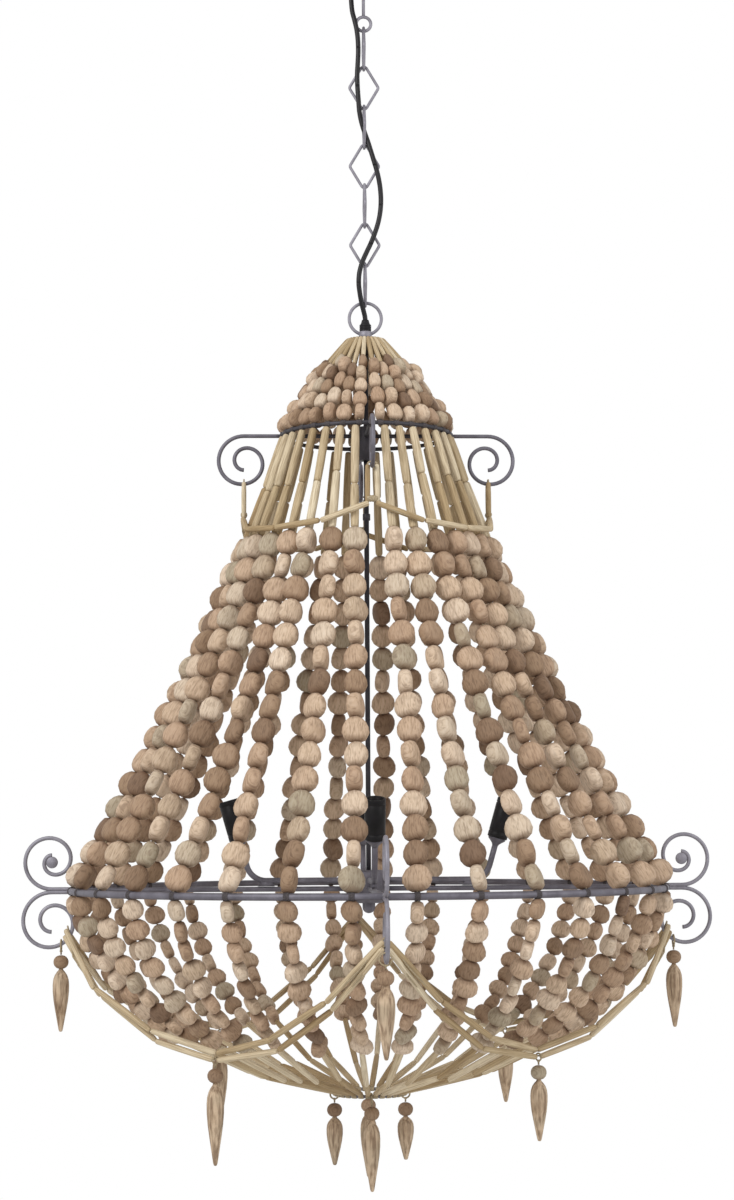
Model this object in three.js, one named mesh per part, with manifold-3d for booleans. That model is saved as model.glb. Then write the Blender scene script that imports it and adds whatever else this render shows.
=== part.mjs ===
import * as THREE from 'three';
import { mergeVertices } from 'three/addons/utils/BufferGeometryUtils.js';
import Module from 'manifold-3d';

const wasm = await Module();
wasm.setup();

// Beaded chandelier on its chain, in millimetres. The origin is the middle of the
// ceiling plate's top face, +Z is up, the front is -Y and the right is +X.
// Two steel rings hang on a rod. Strings of wooden beads run from a cap over the
// small ring down to the large ring, and on under it to a little ring at the bottom.

// Clearances shared by the whole lamp.
const restGap = 0.3;
const boreGap = 0.35;
const cordHoleGap = 0.8;
const cutOverrun = 4;

// Ceiling plate, its screw holes and the boss that the loop screws into.
const plateLength = 84;
const plateWidth = 24;
const plateThickness = 3;
const plateHoleSpan = 60;
const plateHoleRadius = 2.6;
const bossRadius = 8;
const bossBoreDepth = 14;

// Canopy, the shallow steel cup that hides the plate.
const canopyRadius = 55;
const canopyDepth = 28;
const canopyWall = 1.2;
const canopyEdgeRound = 10;

// Terminal block under the plate.
const terminalLength = 20;
const terminalWidth = 14;
const terminalHeight = 9;

// Loop under the canopy.
const loopWire = 4;
const loopRadius = 9;
const loopNeckLength = 41;
const loopStemRadius = 4;
const loopCollarRadius = 9;
const loopCollarHeight = 8;

// Chain of diamond links.
const linkCount = 7;
const linkWire = 3.6;
const linkHeight = 56.8;
const linkWidth = 38.4;

// Round loop that the lamp hangs by, with the cord grip in it.
const ringWire = 4;
const ringRadius = 19.6;
const ringBossRadius = 8;
const ringBossRise = 1.8;
const ringBossHeight = 9;
const gripRadius = 7.2;
const gripTopRadius = 4.4;
const gripHeight = 14;

// Supply cord.
const cordDiameter = 6;

// Crown: a cap disc and the short strings that fan out from it to the small ring.
const capRadius = 20;
const capThickness = 3;
const crownHeight = 118;
const crownBulge = 3;

// Small upper ring, its hub and its scrolls.
const upperRingRadius = 102;
const upperBar = 5;
const upperHubRadius = 10.2;
const upperHubHeight = 41;
const upperHubRise = 11;
const scrollWire = 4.8;
const upperScrollReach = 148;
const upperScrollOuter = 30.5;
const upperScrollInner = 11;

// Curtain between the rings.
const curtainHeight = 545;
const curtainSag = 19;

// Large lower ring, its hub and its scroll pairs.
const lowerRingRadius = 352;
const lowerBar = 8;
const spokeBar = 6;
const lowerHubRadius = 19;
const lowerHubRise = 22;
const lowerHubDrop = 17;
const lowerHubBoreDepth = 16;
const finialRadius = 8;
const finialHeight = 12;
const finialTipShare = 1 / 2;
const lowerScrollReach = 376;
const risingScrollOuter = 31.5;
const risingScrollInner = 8.5;
const fallingScrollOuter = 33.5;
const fallingScrollInner = 13;
const scrollTurns = 1.5;
const scrollStemShare = 0.1;
const wideTurns = 0.25;
const tightTurns = 1.35;
const pairOffsetShare = 0.38;
const hubShoulder = 3;
const eyeDiscRadius = 7;
const eyeDiscThickness = 3;

// Centre rod with the collar that joins its two lengths.
const rodRadius = 3;
const rodCollarRadius = 4.6;
const rodCollarHeight = 8;
const rodCollarDrop = 65;

// Basket under the large ring.
const basketDepth = 240;
const basketTuck = 52;
const basketRound = 44;
const bottomRingRadius = 42;
const bottomBar = 4;

// Bead strings.
const strandCount = 32;
const stringRadius = 1;
const neckRadius = 1.8;
const stickNeckShare = 0.62;
const curtainStickCount = 2;
const curtainStickLength = 67;
const curtainStickRadius = 5;
const curtainBeadCount = 15;
const curtainBeadRadius = 15;
const curtainBeadHalfDepth = 8.5;
const basketStickCount = 2;
const basketStickLength = 100;
const basketStickRadius = 3.4;
const basketBeadCount = 9;
const basketBeadRadius = 13;
const basketBeadHalfDepth = 6.8;
const crownStickCount = 1;
const crownStickLength = 28;
const crownStickRadius = 2.6;
const crownBeadCount = 5;
const crownBeadRadius = 11.3;
const crownBeadHalfDepth = 5.8;
const sizeShares = [1, 0.9, 1.04, 0.94, 0.98, 0.87, 1.02];

// Garlands of slim sticks that hang between the scrolls.
const garlandStickRadius = 3.6;
const upperGarlandHang = 44;
const upperGarlandSag = 28;
const upperGarlandSticks = 4;
const lowerGarlandSag = 133;
const lowerGarlandSticks = 6;
const garlandReach = 28;
const upperGarlandReach = 12;
const tieSpare = 2.6;
const hangerSpare = 1.6;
const firstTieTurns = 0.7;
const secondTieTurns = 0.64;
const garlandKnotLength = 7;

// Lamp arms and candle holders.
const armTube = 7;
const armRise = 10;
const armBendStart = 122;
const armBendRadius = 24;
const armTiltDegrees = 16;
const armUpright = 28;
const footLength = 20;
const footTopLength = 12;
const footWidth = 6;
const cupRadius = 10.5;
const cupHeight = 9;
const holderRadius = 12;
const holderBore = 9.6;
const holderHeight = 48;
const holderFloor = 7;
const contactRadius = 4;
const contactHeight = 1.2;

// Wooden drops: a bead and a spindle on a string loop. The shares are each drop's
// spindle length, in the order of the sides and the corners.
const dropLoopWire = 2;
const dropLoopSpare = 1.4;
const dropBeadRadius = 9;
const dropBeadHeight = 16;
const dropStringLength = 5;
const spindleRadius = 9.6;
const spindleLength = 75;
const spindleTipRadius = 1.6;
const spindleNeckShare = 1 / 4;
const spindleShoulderShare = 1 / 4;
const spindleBodyShare = 1 / 2;
const spindleBodyWidthShare = 0.86;
const scrollDropTurns = 0.5625;
const scrollDropSpare = 1;
const scrollDropShares = [1, 0.97, 0.98, 1.02];
const garlandDropShares = [0.86, 1.14, 1.2, 0.9];
const bottomDropShares = [0.68, 1.02, 0.75, 1.09];

// Facet counts.
const barSides = 6;
const wireSides = 4;
const roundSides = 8;
const cordSides = 5;
const armBendSteps = 3;
const scrollSteps = 16;
const scrollSides = 4;
const ringSteps = 16;
const loopSteps = 12;
const capSides = 14;
const canopySides = 16;
const endBendSteps = 4;
const sideBendSteps = 1;
const stringSides = 3;
const dropSides = 5;
const dropLoopSteps = 8;
const bottomRingSteps = 16;
const searchSteps = 40;

// Finishes.
const greySteel = new THREE.MeshStandardMaterial({ color: '#57525c', roughness: 0.55, metalness: 0.8 });
const blackPlastic = new THREE.MeshStandardMaterial({ color: '#1b1a1c', roughness: 0.5, metalness: 0 });
const cordRubber = new THREE.MeshStandardMaterial({ color: '#151416', roughness: 0.6, metalness: 0 });
const wornWood = new THREE.MeshStandardMaterial({ color: '#b4956f', roughness: 0.8, metalness: 0 });
const strawWood = new THREE.MeshStandardMaterial({ color: '#cbb88e', roughness: 0.8, metalness: 0 });

const chandelier = new THREE.Group();
chandelier.name = 'beaded_chandelier';

function add(name, geometry, material) {
  const mesh = new THREE.Mesh(geometry, material);
  mesh.name = name;
  chandelier.add(mesh);
  return mesh;
}

// A closed geometry as a solid that can be joined and cut, and back again.
function solidOf(geometry) {
  const bare = geometry.clone();
  bare.deleteAttribute('normal');
  bare.deleteAttribute('uv');
  const merged = mergeVertices(bare, 1e-4);
  const vertProperties = new Float32Array(merged.attributes.position.array);
  const triVerts = new Uint32Array(merged.index.array);
  return new wasm.Manifold(new wasm.Mesh({ numProp: 3, vertProperties, triVerts }));
}

function geometryOf(solid) {
  const mesh = solid.getMesh();
  const geometry = new THREE.BufferGeometry();
  geometry.setAttribute('position', new THREE.BufferAttribute(new Float32Array(mesh.vertProperties), 3));
  geometry.setIndex(new THREE.BufferAttribute(new Uint32Array(mesh.triVerts), 1));
  geometry.computeVertexNormals();
  return geometry;
}

function joined(geometries) {
  return geometries.map(solidOf).reduce((whole, piece) => whole.add(piece));
}

// A turned piece: points of radius and height, from the axis back to the axis or closed.
function turned(points, sides) {
  const profile = points.map(([r, z]) => new THREE.Vector2(r, z));
  return new THREE.LatheGeometry(profile, sides).rotateX(Math.PI / 2);
}

// An upright round bar from one height down to another.
function roundBar(radius, top, bottom, sides) {
  const bar = new THREE.CylinderGeometry(radius, radius, top - bottom, sides);
  return bar.rotateX(Math.PI / 2).translate(0, 0, (top + bottom) / 2);
}

function barSection(radius, sides) {
  const shape = new THREE.Shape();
  for (let k = 0; k < sides; k += 1) {
    const angle = (2 * Math.PI * k) / sides;
    const x = radius * Math.cos(angle);
    const y = radius * Math.sin(angle);
    if (k === 0) shape.moveTo(x, y);
    else shape.lineTo(x, y);
  }
  shape.closePath();
  return shape;
}

// A round bar bent along a curve.
function bentBar(curve, radius, sides, steps) {
  const options = { steps, extrudePath: curve, bevelEnabled: false };
  return new THREE.ExtrudeGeometry(barSection(radius, sides), options);
}

// A skin over a row of rings of points, closed end to end or capped at both ends.
function skinned(rings, endless) {
  const sides = rings[0].length;
  const points = rings.flat();
  const faces = [];
  const bands = endless ? rings.length : rings.length - 1;
  for (let i = 0; i < bands; i += 1) {
    const here = i * sides;
    const next = ((i + 1) % rings.length) * sides;
    for (let j = 0; j < sides; j += 1) {
      const k = (j + 1) % sides;
      faces.push(here + j, here + k, next + k);
      faces.push(here + j, next + k, next + j);
    }
  }
  if (!endless) {
    const last = (rings.length - 1) * sides;
    for (let j = 1; j < sides - 1; j += 1) {
      faces.push(0, j + 1, j);
      faces.push(last, last + j, last + j + 1);
    }
  }
  const geometry = new THREE.BufferGeometry().setFromPoints(points);
  geometry.setIndex(faces);
  geometry.computeVertexNormals();
  return geometry;
}

// One ring of a string of beads: its middle, the way it runs and its two half widths.
function beadRing(middle, along, outward, halfOut, halfSide, sides) {
  const sideways = new THREE.Vector3().crossVectors(along, outward).normalize();
  const up = new THREE.Vector3().crossVectors(sideways, along).normalize();
  const ring = [];
  for (let k = 0; k < sides; k += 1) {
    const angle = (2 * Math.PI * k) / sides;
    const point = middle.clone();
    point.addScaledVector(up, halfOut * Math.cos(angle));
    point.addScaledVector(sideways, halfSide * Math.sin(angle));
    ring.push(point);
  }
  return ring;
}

// A point at a distance from the lamp's axis, an angle round it and a height.
function around(radius, angle, height) {
  return new THREE.Vector3(radius * Math.cos(angle), radius * Math.sin(angle), height);
}

// How far along a falling line its height comes down to a given one, from 0 to 1.
function shareWhere(heightAt, height) {
  let low = 0;
  let high = 1;
  for (let k = 0; k < searchSteps; k += 1) {
    const middle = (low + high) / 2;
    if (heightAt(middle) > height) low = middle;
    else high = middle;
  }
  return (low + high) / 2;
}

const quarter = Math.PI / 2;
const sideNames = ['right', 'back', 'left', 'front'];
const cornerNames = ['back_right', 'back_left', 'front_left', 'front_right'];

// Heights, worked down from the ceiling.
const wireStack = (a, b) => (a + b) / 2 + restGap;
const loopMiddle = -canopyDepth - loopNeckLength - loopRadius;
const loopFoot = loopMiddle - loopRadius;
const linkRun = linkHeight - linkWire;
const linkPitch = linkRun - linkWire - restGap;
const firstLinkMiddle = loopFoot + wireStack(loopWire, linkWire) - linkRun / 2;
const linkMiddle = (index) => firstLinkMiddle - index * linkPitch;
const lastLinkFoot = linkMiddle(linkCount - 1) - linkRun / 2;
const ringTop = lastLinkFoot + wireStack(linkWire, ringWire);
const ringMiddle = ringTop - ringRadius;
const ringBossTop = ringMiddle - ringRadius + ringWire / 2 + ringBossRise;
const ringBossFoot = ringBossTop - ringBossHeight;
const capTop = ringBossFoot - restGap;
const capFoot = capTop - capThickness;
const crownTop = capTop - capThickness / 2;
const upperRingHeight = crownTop - crownHeight;
const lowerRingHeight = upperRingHeight - curtainHeight;
const bottomRingHeight = lowerRingHeight - basketDepth;

// Flat top and foot of a six-sided bar, where strings lie with their gap.
const flatOf = (bar) => (bar / 2) * Math.cos(Math.PI / barSides);
const stringSeat = (bar) => flatOf(bar) + restGap + stringRadius;

// Ceiling plate: a flat bar with two screw holes and a bored boss in the middle.
const bossFoot = -canopyDepth + canopyWall + restGap;
{
  const plate = new THREE.BoxGeometry(plateLength, plateWidth, plateThickness);
  plate.translate(0, 0, -plateThickness / 2);
  const boss = roundBar(bossRadius, -plateThickness / 2, bossFoot, roundSides);
  let solid = joined([plate, boss]);
  const boreTop = bossFoot + bossBoreDepth;
  const bore = roundBar(loopStemRadius + boreGap, boreTop, bossFoot - cutOverrun, roundSides);
  solid = solid.subtract(solidOf(bore));
  for (const side of [-1, 1]) {
    const hole = roundBar(plateHoleRadius, cutOverrun, -plateThickness - cutOverrun, roundSides);
    solid = solid.subtract(solidOf(hole.translate((side * plateHoleSpan) / 2, 0, 0)));
  }
  add('ceiling_bracket', geometryOf(solid), greySteel);
}

// Canopy: a spun cup with a rounded foot, a middle hole for the loop and one for the cord.
const cordRadius = cordDiameter / 2;
const cordExitReach = bossRadius + terminalWidth / 2 + boreGap;
{
  const hole = loopStemRadius + boreGap;
  const inner = canopyRadius - canopyWall;
  const roundSteps = 2;
  const outside = [];
  const inside = [];
  for (let k = 0; k <= roundSteps; k += 1) {
    const angle = -quarter + (quarter * k) / roundSteps;
    const out = canopyEdgeRound;
    const within = canopyEdgeRound - canopyWall;
    const turnX = canopyRadius - canopyEdgeRound;
    const turnZ = -canopyDepth + canopyEdgeRound;
    outside.push([turnX + out * Math.cos(angle), turnZ + out * Math.sin(angle)]);
    inside.push([turnX + within * Math.cos(angle), turnZ + within * Math.sin(angle)]);
  }
  const profile = [[hole, -canopyDepth], ...outside, [canopyRadius, 0], [inner, 0], ...inside.reverse()];
  profile.push([hole, -canopyDepth + canopyWall], [hole, -canopyDepth]);
  const cup = solidOf(turned(profile, canopySides));
  const cordHole = roundBar(cordRadius + cordHoleGap, 0, -canopyDepth - cutOverrun, roundSides);
  const cut = cup.subtract(solidOf(cordHole.translate(-cordExitReach, 0, 0)));
  add('canopy', geometryOf(cut), greySteel);
}

// Terminal block that joins the cord to the house wires.
const terminalFoot = -plateThickness - restGap - terminalHeight;
{
  const block = new THREE.BoxGeometry(terminalWidth, terminalLength, terminalHeight);
  block.translate(-cordExitReach, 0, terminalFoot + terminalHeight / 2);
  add('terminal_block', block, blackPlastic);
}

// A round wire loop that stands face on to the front.
function faceOnLoop(radius, wire, height, steps) {
  const loop = new THREE.TorusGeometry(radius, wire / 2, barSides, steps);
  return loop.rotateX(quarter).translate(0, 0, height);
}

// Loop under the canopy: a ring on a stem with the collar that holds the canopy up.
{
  const loop = faceOnLoop(loopRadius, loopWire, loopMiddle, loopSteps);
  const stemTop = bossFoot + bossBoreDepth - restGap;
  const collarTop = -canopyDepth - restGap;
  const collarFoot = collarTop - loopCollarHeight;
  const stem = roundBar(loopStemRadius, stemTop, collarTop - loopCollarHeight / 2, roundSides);
  const collar = roundBar(loopCollarRadius, collarTop, collarFoot, roundSides);
  const neck = roundBar(loopWire / 2, collarTop - loopCollarHeight / 2, loopMiddle + loopRadius, barSides);
  add('canopy_loop', geometryOf(joined([stem, collar, neck, loop])), greySteel);
}

// Chain links: wire diamonds whose bends lie round the wire they hang on, turned a
// quarter from one link to the next.
function diamondPath() {
  const bend = wireStack(Math.max(loopWire, linkWire, ringWire), linkWire);
  const across = (linkWidth - linkWire) / 2 - bend;
  const up = linkRun / 2 - bend;
  const limbAngle = Math.atan2(across, up);
  const endSpan = Math.PI / 2 - limbAngle;
  const bends = [
    { x: across, z: 0, middle: 0, span: limbAngle, steps: sideBendSteps },
    { x: 0, z: up, middle: quarter, span: endSpan, steps: endBendSteps },
    { x: -across, z: 0, middle: 2 * quarter, span: limbAngle, steps: sideBendSteps },
    { x: 0, z: -up, middle: 3 * quarter, span: endSpan, steps: endBendSteps },
  ];
  const path = [];
  for (const { x, z, middle, span, steps } of bends) {
    for (let k = 0; k <= steps; k += 1) {
      const angle = middle - span + (2 * span * k) / steps;
      path.push(new THREE.Vector2(x + bend * Math.cos(angle), z + bend * Math.sin(angle)));
    }
  }
  return path;
}

function diamondLink() {
  const path = diamondPath();
  const outward = new THREE.Vector3(0, 1, 0);
  const rings = path.map((point, index) => {
    const before = path[(index + path.length - 1) % path.length];
    const after = path[(index + 1) % path.length];
    const fromBefore = point.clone().sub(before).normalize();
    const toAfter = after.clone().sub(point).normalize();
    const flat = fromBefore.add(toAfter).normalize();
    const along = new THREE.Vector3(flat.x, 0, flat.y);
    const middle = new THREE.Vector3(point.x, 0, point.y);
    return beadRing(middle, along, outward, linkWire / 2, linkWire / 2, wireSides);
  });
  return skinned(rings, true);
}

for (let index = 0; index < linkCount; index += 1) {
  const link = diamondLink();
  if (index % 2 === 0) link.rotateZ(quarter);
  add(`chain_link_${index + 1}`, link.translate(0, 0, linkMiddle(index)), greySteel);
}

// Hanging loop: a ring with a bored boss at its foot, screwed on the centre rod.
{
  const ring = faceOnLoop(ringRadius, ringWire, ringMiddle, ringSteps);
  const boss = roundBar(ringBossRadius, ringBossTop, ringBossFoot, roundSides);
  add('hanging_loop', geometryOf(joined([ring, boss])), greySteel);
}

// Cord grip: a black tapered bush on the loop's boss.
const gripFoot = ringBossTop + restGap;
const gripTop = gripFoot + gripHeight;
{
  const shoulder = gripFoot + gripHeight / 2;
  const profile = [[0, gripFoot], [gripRadius, gripFoot], [gripRadius, shoulder]];
  profile.push([gripTopRadius, gripTop], [0, gripTop]);
  add('cord_grip', turned(profile, roundSides), blackPlastic);
}

// Supply cord, threaded down through the chain from the terminal block to the grip.
// Its points are the distance to the right, the distance to the back and the height.
const cordPoints = [
  [-15.4, 0, -12.7], [-15.4, 0, -36], [-14, -2.6, -62], [-11.2, -5, -75], [-8.6, -6.2, -88],
  [-7.2, -5.6, -101], [-6.9, -5.2, -114], [-7.5, -5.6, -128], [-8.4, -5.8, -144], [-8, -5.9, -161],
  [-6.9, -5.6, -177], [-5.9, -4.7, -190], [-3.4, -3.9, -203], [0.2, -3.4, -215], [4.2, -3.9, -227],
  [8, -5.4, -240], [12, -6.4, -254], [15.8, -6.4, -268], [18.6, -5.8, -283], [19.8, -5, -299],
  [19, -5.2, -314], [16.2, -6.2, -329], [11.8, -6.8, -343], [6.6, -7.4, -356], [1, -8.4, -368],
  [-4, -9.8, -380], [-7.4, -11, -393], [-8.2, -10.8, -406], [-6.8, -9.2, -418], [-4.7, -6.4, -429],
  [-2.2, -3, -438], [-0.6, -0.8, -444], [0, 0, -448.6],
];
{
  const route = new THREE.CatmullRomCurve3(cordPoints.map(([x, y, z]) => new THREE.Vector3(x, y, z)));
  route.points[0].setComponent(2, terminalFoot - restGap);
  route.points[route.points.length - 1].set(0, 0, gripTop + restGap);
  const length = route.getLength();
  const shareAt = (height) => shareWhere((share) => route.getPointAt(share).z, height);
  const cuts = [0];
  for (let index = 0; index < linkCount; index += 1) cuts.push(shareAt(linkMiddle(index)));
  cuts.push(1);
  for (let index = 0; index < cuts.length - 1; index += 1) {
    const from = cuts[index] + (index > 0 ? restGap / 2 / length : 0);
    const to = cuts[index + 1] - (index < cuts.length - 2 ? restGap / 2 / length : 0);
    const steps = Math.max(2, Math.round(((to - from) * length) / (2 * cordDiameter)));
    const rings = [];
    for (let k = 0; k <= steps; k += 1) {
      const share = from + ((to - from) * k) / steps;
      const outward = new THREE.Vector3(0, -1, 0);
      const along = share === 1 ? new THREE.Vector3(0, 0, -1) : route.getTangentAt(share);
      rings.push(beadRing(route.getPointAt(share), along, outward, cordRadius, cordRadius, cordSides));
    }
    add(`cord_stretch_${index + 1}`, skinned(rings, false), cordRubber);
  }
}

// Crown cap: a steel disc whose edge the top strings are tied round.
{
  const hole = rodRadius + boreGap;
  const profile = [[hole, capFoot], [capRadius, capFoot], [capRadius, capTop]];
  profile.push([hole, capTop], [hole, capFoot]);
  add('crown_cap', turned(profile, capSides), greySteel);
}

// Centre rod: two lengths joined by a collar, from the hanging loop to the lower hub.
const rodTop = capTop - restGap;
const upperHubTop = upperRingHeight + upperHubRise;
const upperHubFoot = upperHubTop - upperHubHeight;
const lowerHubTop = lowerRingHeight + lowerHubRise;
const lowerHubFoot = lowerRingHeight - lowerHubDrop;
const rodFoot = lowerHubTop - lowerHubBoreDepth + restGap;
{
  const collarTop = upperHubFoot - rodCollarDrop;
  const collarFoot = collarTop - rodCollarHeight;
  const profile = [[0, rodFoot], [rodRadius, rodFoot], [rodRadius, collarFoot]];
  profile.push([rodCollarRadius, collarFoot]);
  profile.push([rodCollarRadius, collarTop], [rodRadius, collarTop], [rodRadius, rodTop], [0, rodTop]);
  add('centre_rod', turned(profile, roundSides), greySteel);
}

// Upper hub: a plain sleeve on the rod that the small ring's spokes are welded to.
{
  const hole = rodRadius + restGap;
  const profile = [[hole, upperHubFoot], [upperHubRadius, upperHubFoot], [upperHubRadius, upperHubTop]];
  profile.push([hole, upperHubTop], [hole, upperHubFoot]);
  add('upper_hub', turned(profile, roundSides), greySteel);
}

// A scroll: a stem out from its ring and a wire that winds in on itself, rising or falling.
class ScrollCurve extends THREE.Curve {
  constructor(stemStart, reach, outer, inner, height, rise) {
    super();
    this.stemStart = stemStart;
    this.reach = reach;
    this.outer = outer;
    this.inner = inner;
    this.height = height;
    this.rise = rise;
  }

  // How far from the scroll's own middle the wire is after so many turns.
  winding(turns) {
    const run = THREE.MathUtils.clamp((turns - wideTurns) / (tightTurns - wideTurns), 0, 1);
    return this.inner + ((this.outer - this.inner) * (1 + Math.cos(Math.PI * run))) / 2;
  }

  // The place on the wire after so many turns, as a distance from the axis and a height.
  placeAt(turns) {
    const winding = this.winding(turns);
    const angle = 2 * Math.PI * turns;
    const across = this.reach + winding * Math.sin(angle);
    const up = this.height + this.rise * (this.outer - winding * Math.cos(angle));
    return new THREE.Vector2(across, up);
  }

  getPoint(t, target = new THREE.Vector3()) {
    if (t < scrollStemShare) {
      const share = t / scrollStemShare;
      return target.set(this.stemStart + (this.reach - this.stemStart) * share, 0, this.height);
    }
    const place = this.placeAt((scrollTurns * (t - scrollStemShare)) / (1 - scrollStemShare));
    return target.set(place.x, 0, place.y);
  }

  getPointAt(u, target) {
    return this.getPoint(u, target);
  }

  getTangentAt(u, target) {
    return this.getTangent(u, target);
  }
}

function scrollWireOn(curve) {
  return bentBar(curve, scrollWire / 2, scrollSides, scrollSteps);
}

function flatRing(radius, bar, height, steps, sides) {
  const ring = new THREE.TorusGeometry(radius, bar / 2, sides, steps);
  return ring.rotateZ(Math.PI / steps).translate(0, 0, height);
}

// A spoke from a hub out to a ring, as a level round bar.
function spoke(from, to, bar, height) {
  const rod = new THREE.CylinderGeometry(bar / 2, bar / 2, to - from, barSides);
  return rod.rotateZ(quarter).translate((from + to) / 2, 0, height);
}

// Small ring with four spokes and four falling scrolls, welded in one.
const upperScroll = new ScrollCurve(
  upperRingRadius, upperScrollReach, upperScrollOuter, upperScrollInner, upperRingHeight, -1,
);
{
  const pieces = [flatRing(upperRingRadius, upperBar, upperRingHeight, strandCount, barSides)];
  for (let side = 0; side < 4; side += 1) {
    const bar = spoke(upperHubRadius + restGap, upperRingRadius, upperBar, upperRingHeight);
    pieces.push(bar.rotateZ(side * quarter));
    pieces.push(scrollWireOn(upperScroll).rotateZ(side * quarter));
  }
  add('upper_frame', geometryOf(joined(pieces)), greySteel);
}

// Large ring with four spokes and four pairs of scrolls, one rising and one falling.
const pairOffset = scrollWire * pairOffsetShare;
const risingStem = lowerRingHeight + pairOffset;
const fallingStem = lowerRingHeight - pairOffset;
const risingScroll = new ScrollCurve(
  lowerRingRadius, lowerScrollReach, risingScrollOuter, risingScrollInner, risingStem, 1,
);
const fallingScroll = new ScrollCurve(
  lowerRingRadius, lowerScrollReach, fallingScrollOuter, fallingScrollInner, fallingStem, -1,
);
{
  const pieces = [flatRing(lowerRingRadius, lowerBar, lowerRingHeight, strandCount, barSides)];
  for (let side = 0; side < 4; side += 1) {
    const bar = spoke(lowerHubRadius + restGap, lowerRingRadius, spokeBar, lowerRingHeight);
    pieces.push(bar.rotateZ(side * quarter));
    pieces.push(scrollWireOn(risingScroll).rotateZ(side * quarter));
    pieces.push(scrollWireOn(fallingScroll).rotateZ(side * quarter));
    const eye = new THREE.CylinderGeometry(eyeDiscRadius, eyeDiscRadius, eyeDiscThickness, roundSides);
    eye.translate(lowerScrollReach, 0, risingStem + risingScrollOuter);
    pieces.push(eye.rotateZ(side * quarter));
  }
  add('lower_frame', geometryOf(joined(pieces)), greySteel);
}

// Lower hub: a turned block with a blind bore for the rod.
{
  const hole = rodRadius + restGap;
  const shoulder = lowerHubRadius - hubShoulder;
  const profile = [[0, lowerHubFoot], [shoulder, lowerHubFoot]];
  profile.push([lowerHubRadius, lowerHubFoot + hubShoulder], [lowerHubRadius, lowerHubTop - hubShoulder]);
  profile.push([shoulder, lowerHubTop], [hole, lowerHubTop]);
  profile.push([hole, lowerHubTop - lowerHubBoreDepth], [0, lowerHubTop - lowerHubBoreDepth]);
  add('lower_hub', turned(profile, roundSides), greySteel);
}

// Cap nut under the lower hub.
{
  const top = lowerHubFoot - restGap;
  const foot = top - finialHeight;
  const waist = top - finialHeight / 2;
  const tip = finialRadius * finialTipShare;
  const profile = [[0, foot], [tip, foot], [finialRadius, waist], [finialRadius, top], [0, top]];
  add('hub_nut', turned(profile, barSides), greySteel);
}

// Lamp arm: a level tube that bends up and leans outward, with a foot that stands on the
// spoke and a cup on its end. Arm, foot and cup are welded in one.
const tilt = THREE.MathUtils.degToRad(armTiltDegrees);
const armHeight = lowerRingHeight + armRise;
const bendSpan = quarter - tilt;
const uprightStart = new THREE.Vector2(
  armBendStart + armBendRadius * Math.sin(bendSpan),
  armHeight + armBendRadius * (1 - Math.cos(bendSpan)),
);
const upright = new THREE.Vector2(Math.sin(tilt), Math.cos(tilt));
const armEnd = uprightStart.clone().addScaledVector(upright, armUpright);

// Turns an upright piece to the arm's lean and stands it on the arm's end.
function onArmEnd(geometry) {
  return geometry.rotateY(tilt).translate(armEnd.x, 0, armEnd.y);
}

function lampArm() {
  const start = new THREE.Vector3(lowerHubRadius + restGap, 0, armHeight);
  const points = [start];
  for (let k = 0; k <= armBendSteps; k += 1) {
    const angle = (bendSpan * k) / armBendSteps;
    const x = armBendStart + armBendRadius * Math.sin(angle);
    points.push(new THREE.Vector3(x, 0, armHeight + armBendRadius * (1 - Math.cos(angle))));
  }
  points.push(new THREE.Vector3(armEnd.x, 0, armEnd.y));
  const rings = points.map((point, index) => {
    const along = new THREE.Vector3();
    if (index > 0) along.add(point.clone().sub(points[index - 1]).normalize());
    if (index < points.length - 1) along.add(points[index + 1].clone().sub(point).normalize());
    const outward = new THREE.Vector3(0, 1, 0);
    return beadRing(point, along.normalize(), outward, armTube / 2, armTube / 2, barSides);
  });
  const footTop = armHeight;
  const footFoot = lowerRingHeight + spokeBar / 2 + restGap;
  const outline = new THREE.Shape();
  outline.moveTo(armBendStart - footLength / 2, footFoot);
  outline.lineTo(armBendStart + footLength / 2, footFoot);
  outline.lineTo(armBendStart + footTopLength / 2, footTop);
  outline.lineTo(armBendStart - footTopLength / 2, footTop);
  outline.closePath();
  const foot = new THREE.ExtrudeGeometry(outline, { depth: footWidth, bevelEnabled: false });
  foot.translate(0, 0, -footWidth / 2).rotateX(quarter);
  const rim = cupHeight / 2;
  const cupProfile = [[0, -rim], [armTube / 2, -rim], [cupRadius, rim], [0, rim]];
  return joined([skinned(rings, false), foot, onArmEnd(turned(cupProfile, roundSides))]);
}

// Lamp holder: a black candle holder, open at the top for the bulb's screw cap, with the
// raised foot contact on its floor.
function lampHolder() {
  const foot = cupHeight / 2 + restGap;
  const top = foot + holderHeight;
  const floor = foot + holderFloor;
  const contact = floor + contactHeight;
  const profile = [[0, foot], [holderRadius, foot], [holderRadius, top], [holderBore, top]];
  profile.push([holderBore, floor], [contactRadius, floor], [contactRadius, contact], [0, contact]);
  return onArmEnd(turned(profile, roundSides));
}

sideNames.forEach((side, index) => {
  add(`lamp_arm_${side}`, geometryOf(lampArm()).rotateZ(index * quarter), greySteel);
  add(`lamp_holder_${side}`, lampHolder().rotateZ(index * quarter), blackPlastic);
});

// Little ring that the basket's strings end on.
const bottomRing = flatRing(bottomRingRadius, bottomBar, bottomRingHeight, bottomRingSteps, barSides);
add('bottom_ring', bottomRing, greySteel);

// The line that a string follows from its upper tie to its lower one, as a distance from
// the axis and a height.
const curtainTop = new THREE.Vector2(upperRingRadius, upperRingHeight - stringSeat(upperBar));
const curtainFoot = new THREE.Vector2(lowerRingRadius, lowerRingHeight + stringSeat(lowerBar));
const curtainMiddle = curtainTop.clone().add(curtainFoot).multiplyScalar(1 / 2);
curtainMiddle.x -= 2 * curtainSag;
const curtainLine = new THREE.QuadraticBezierCurve(curtainTop, curtainMiddle, curtainFoot);

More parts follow.
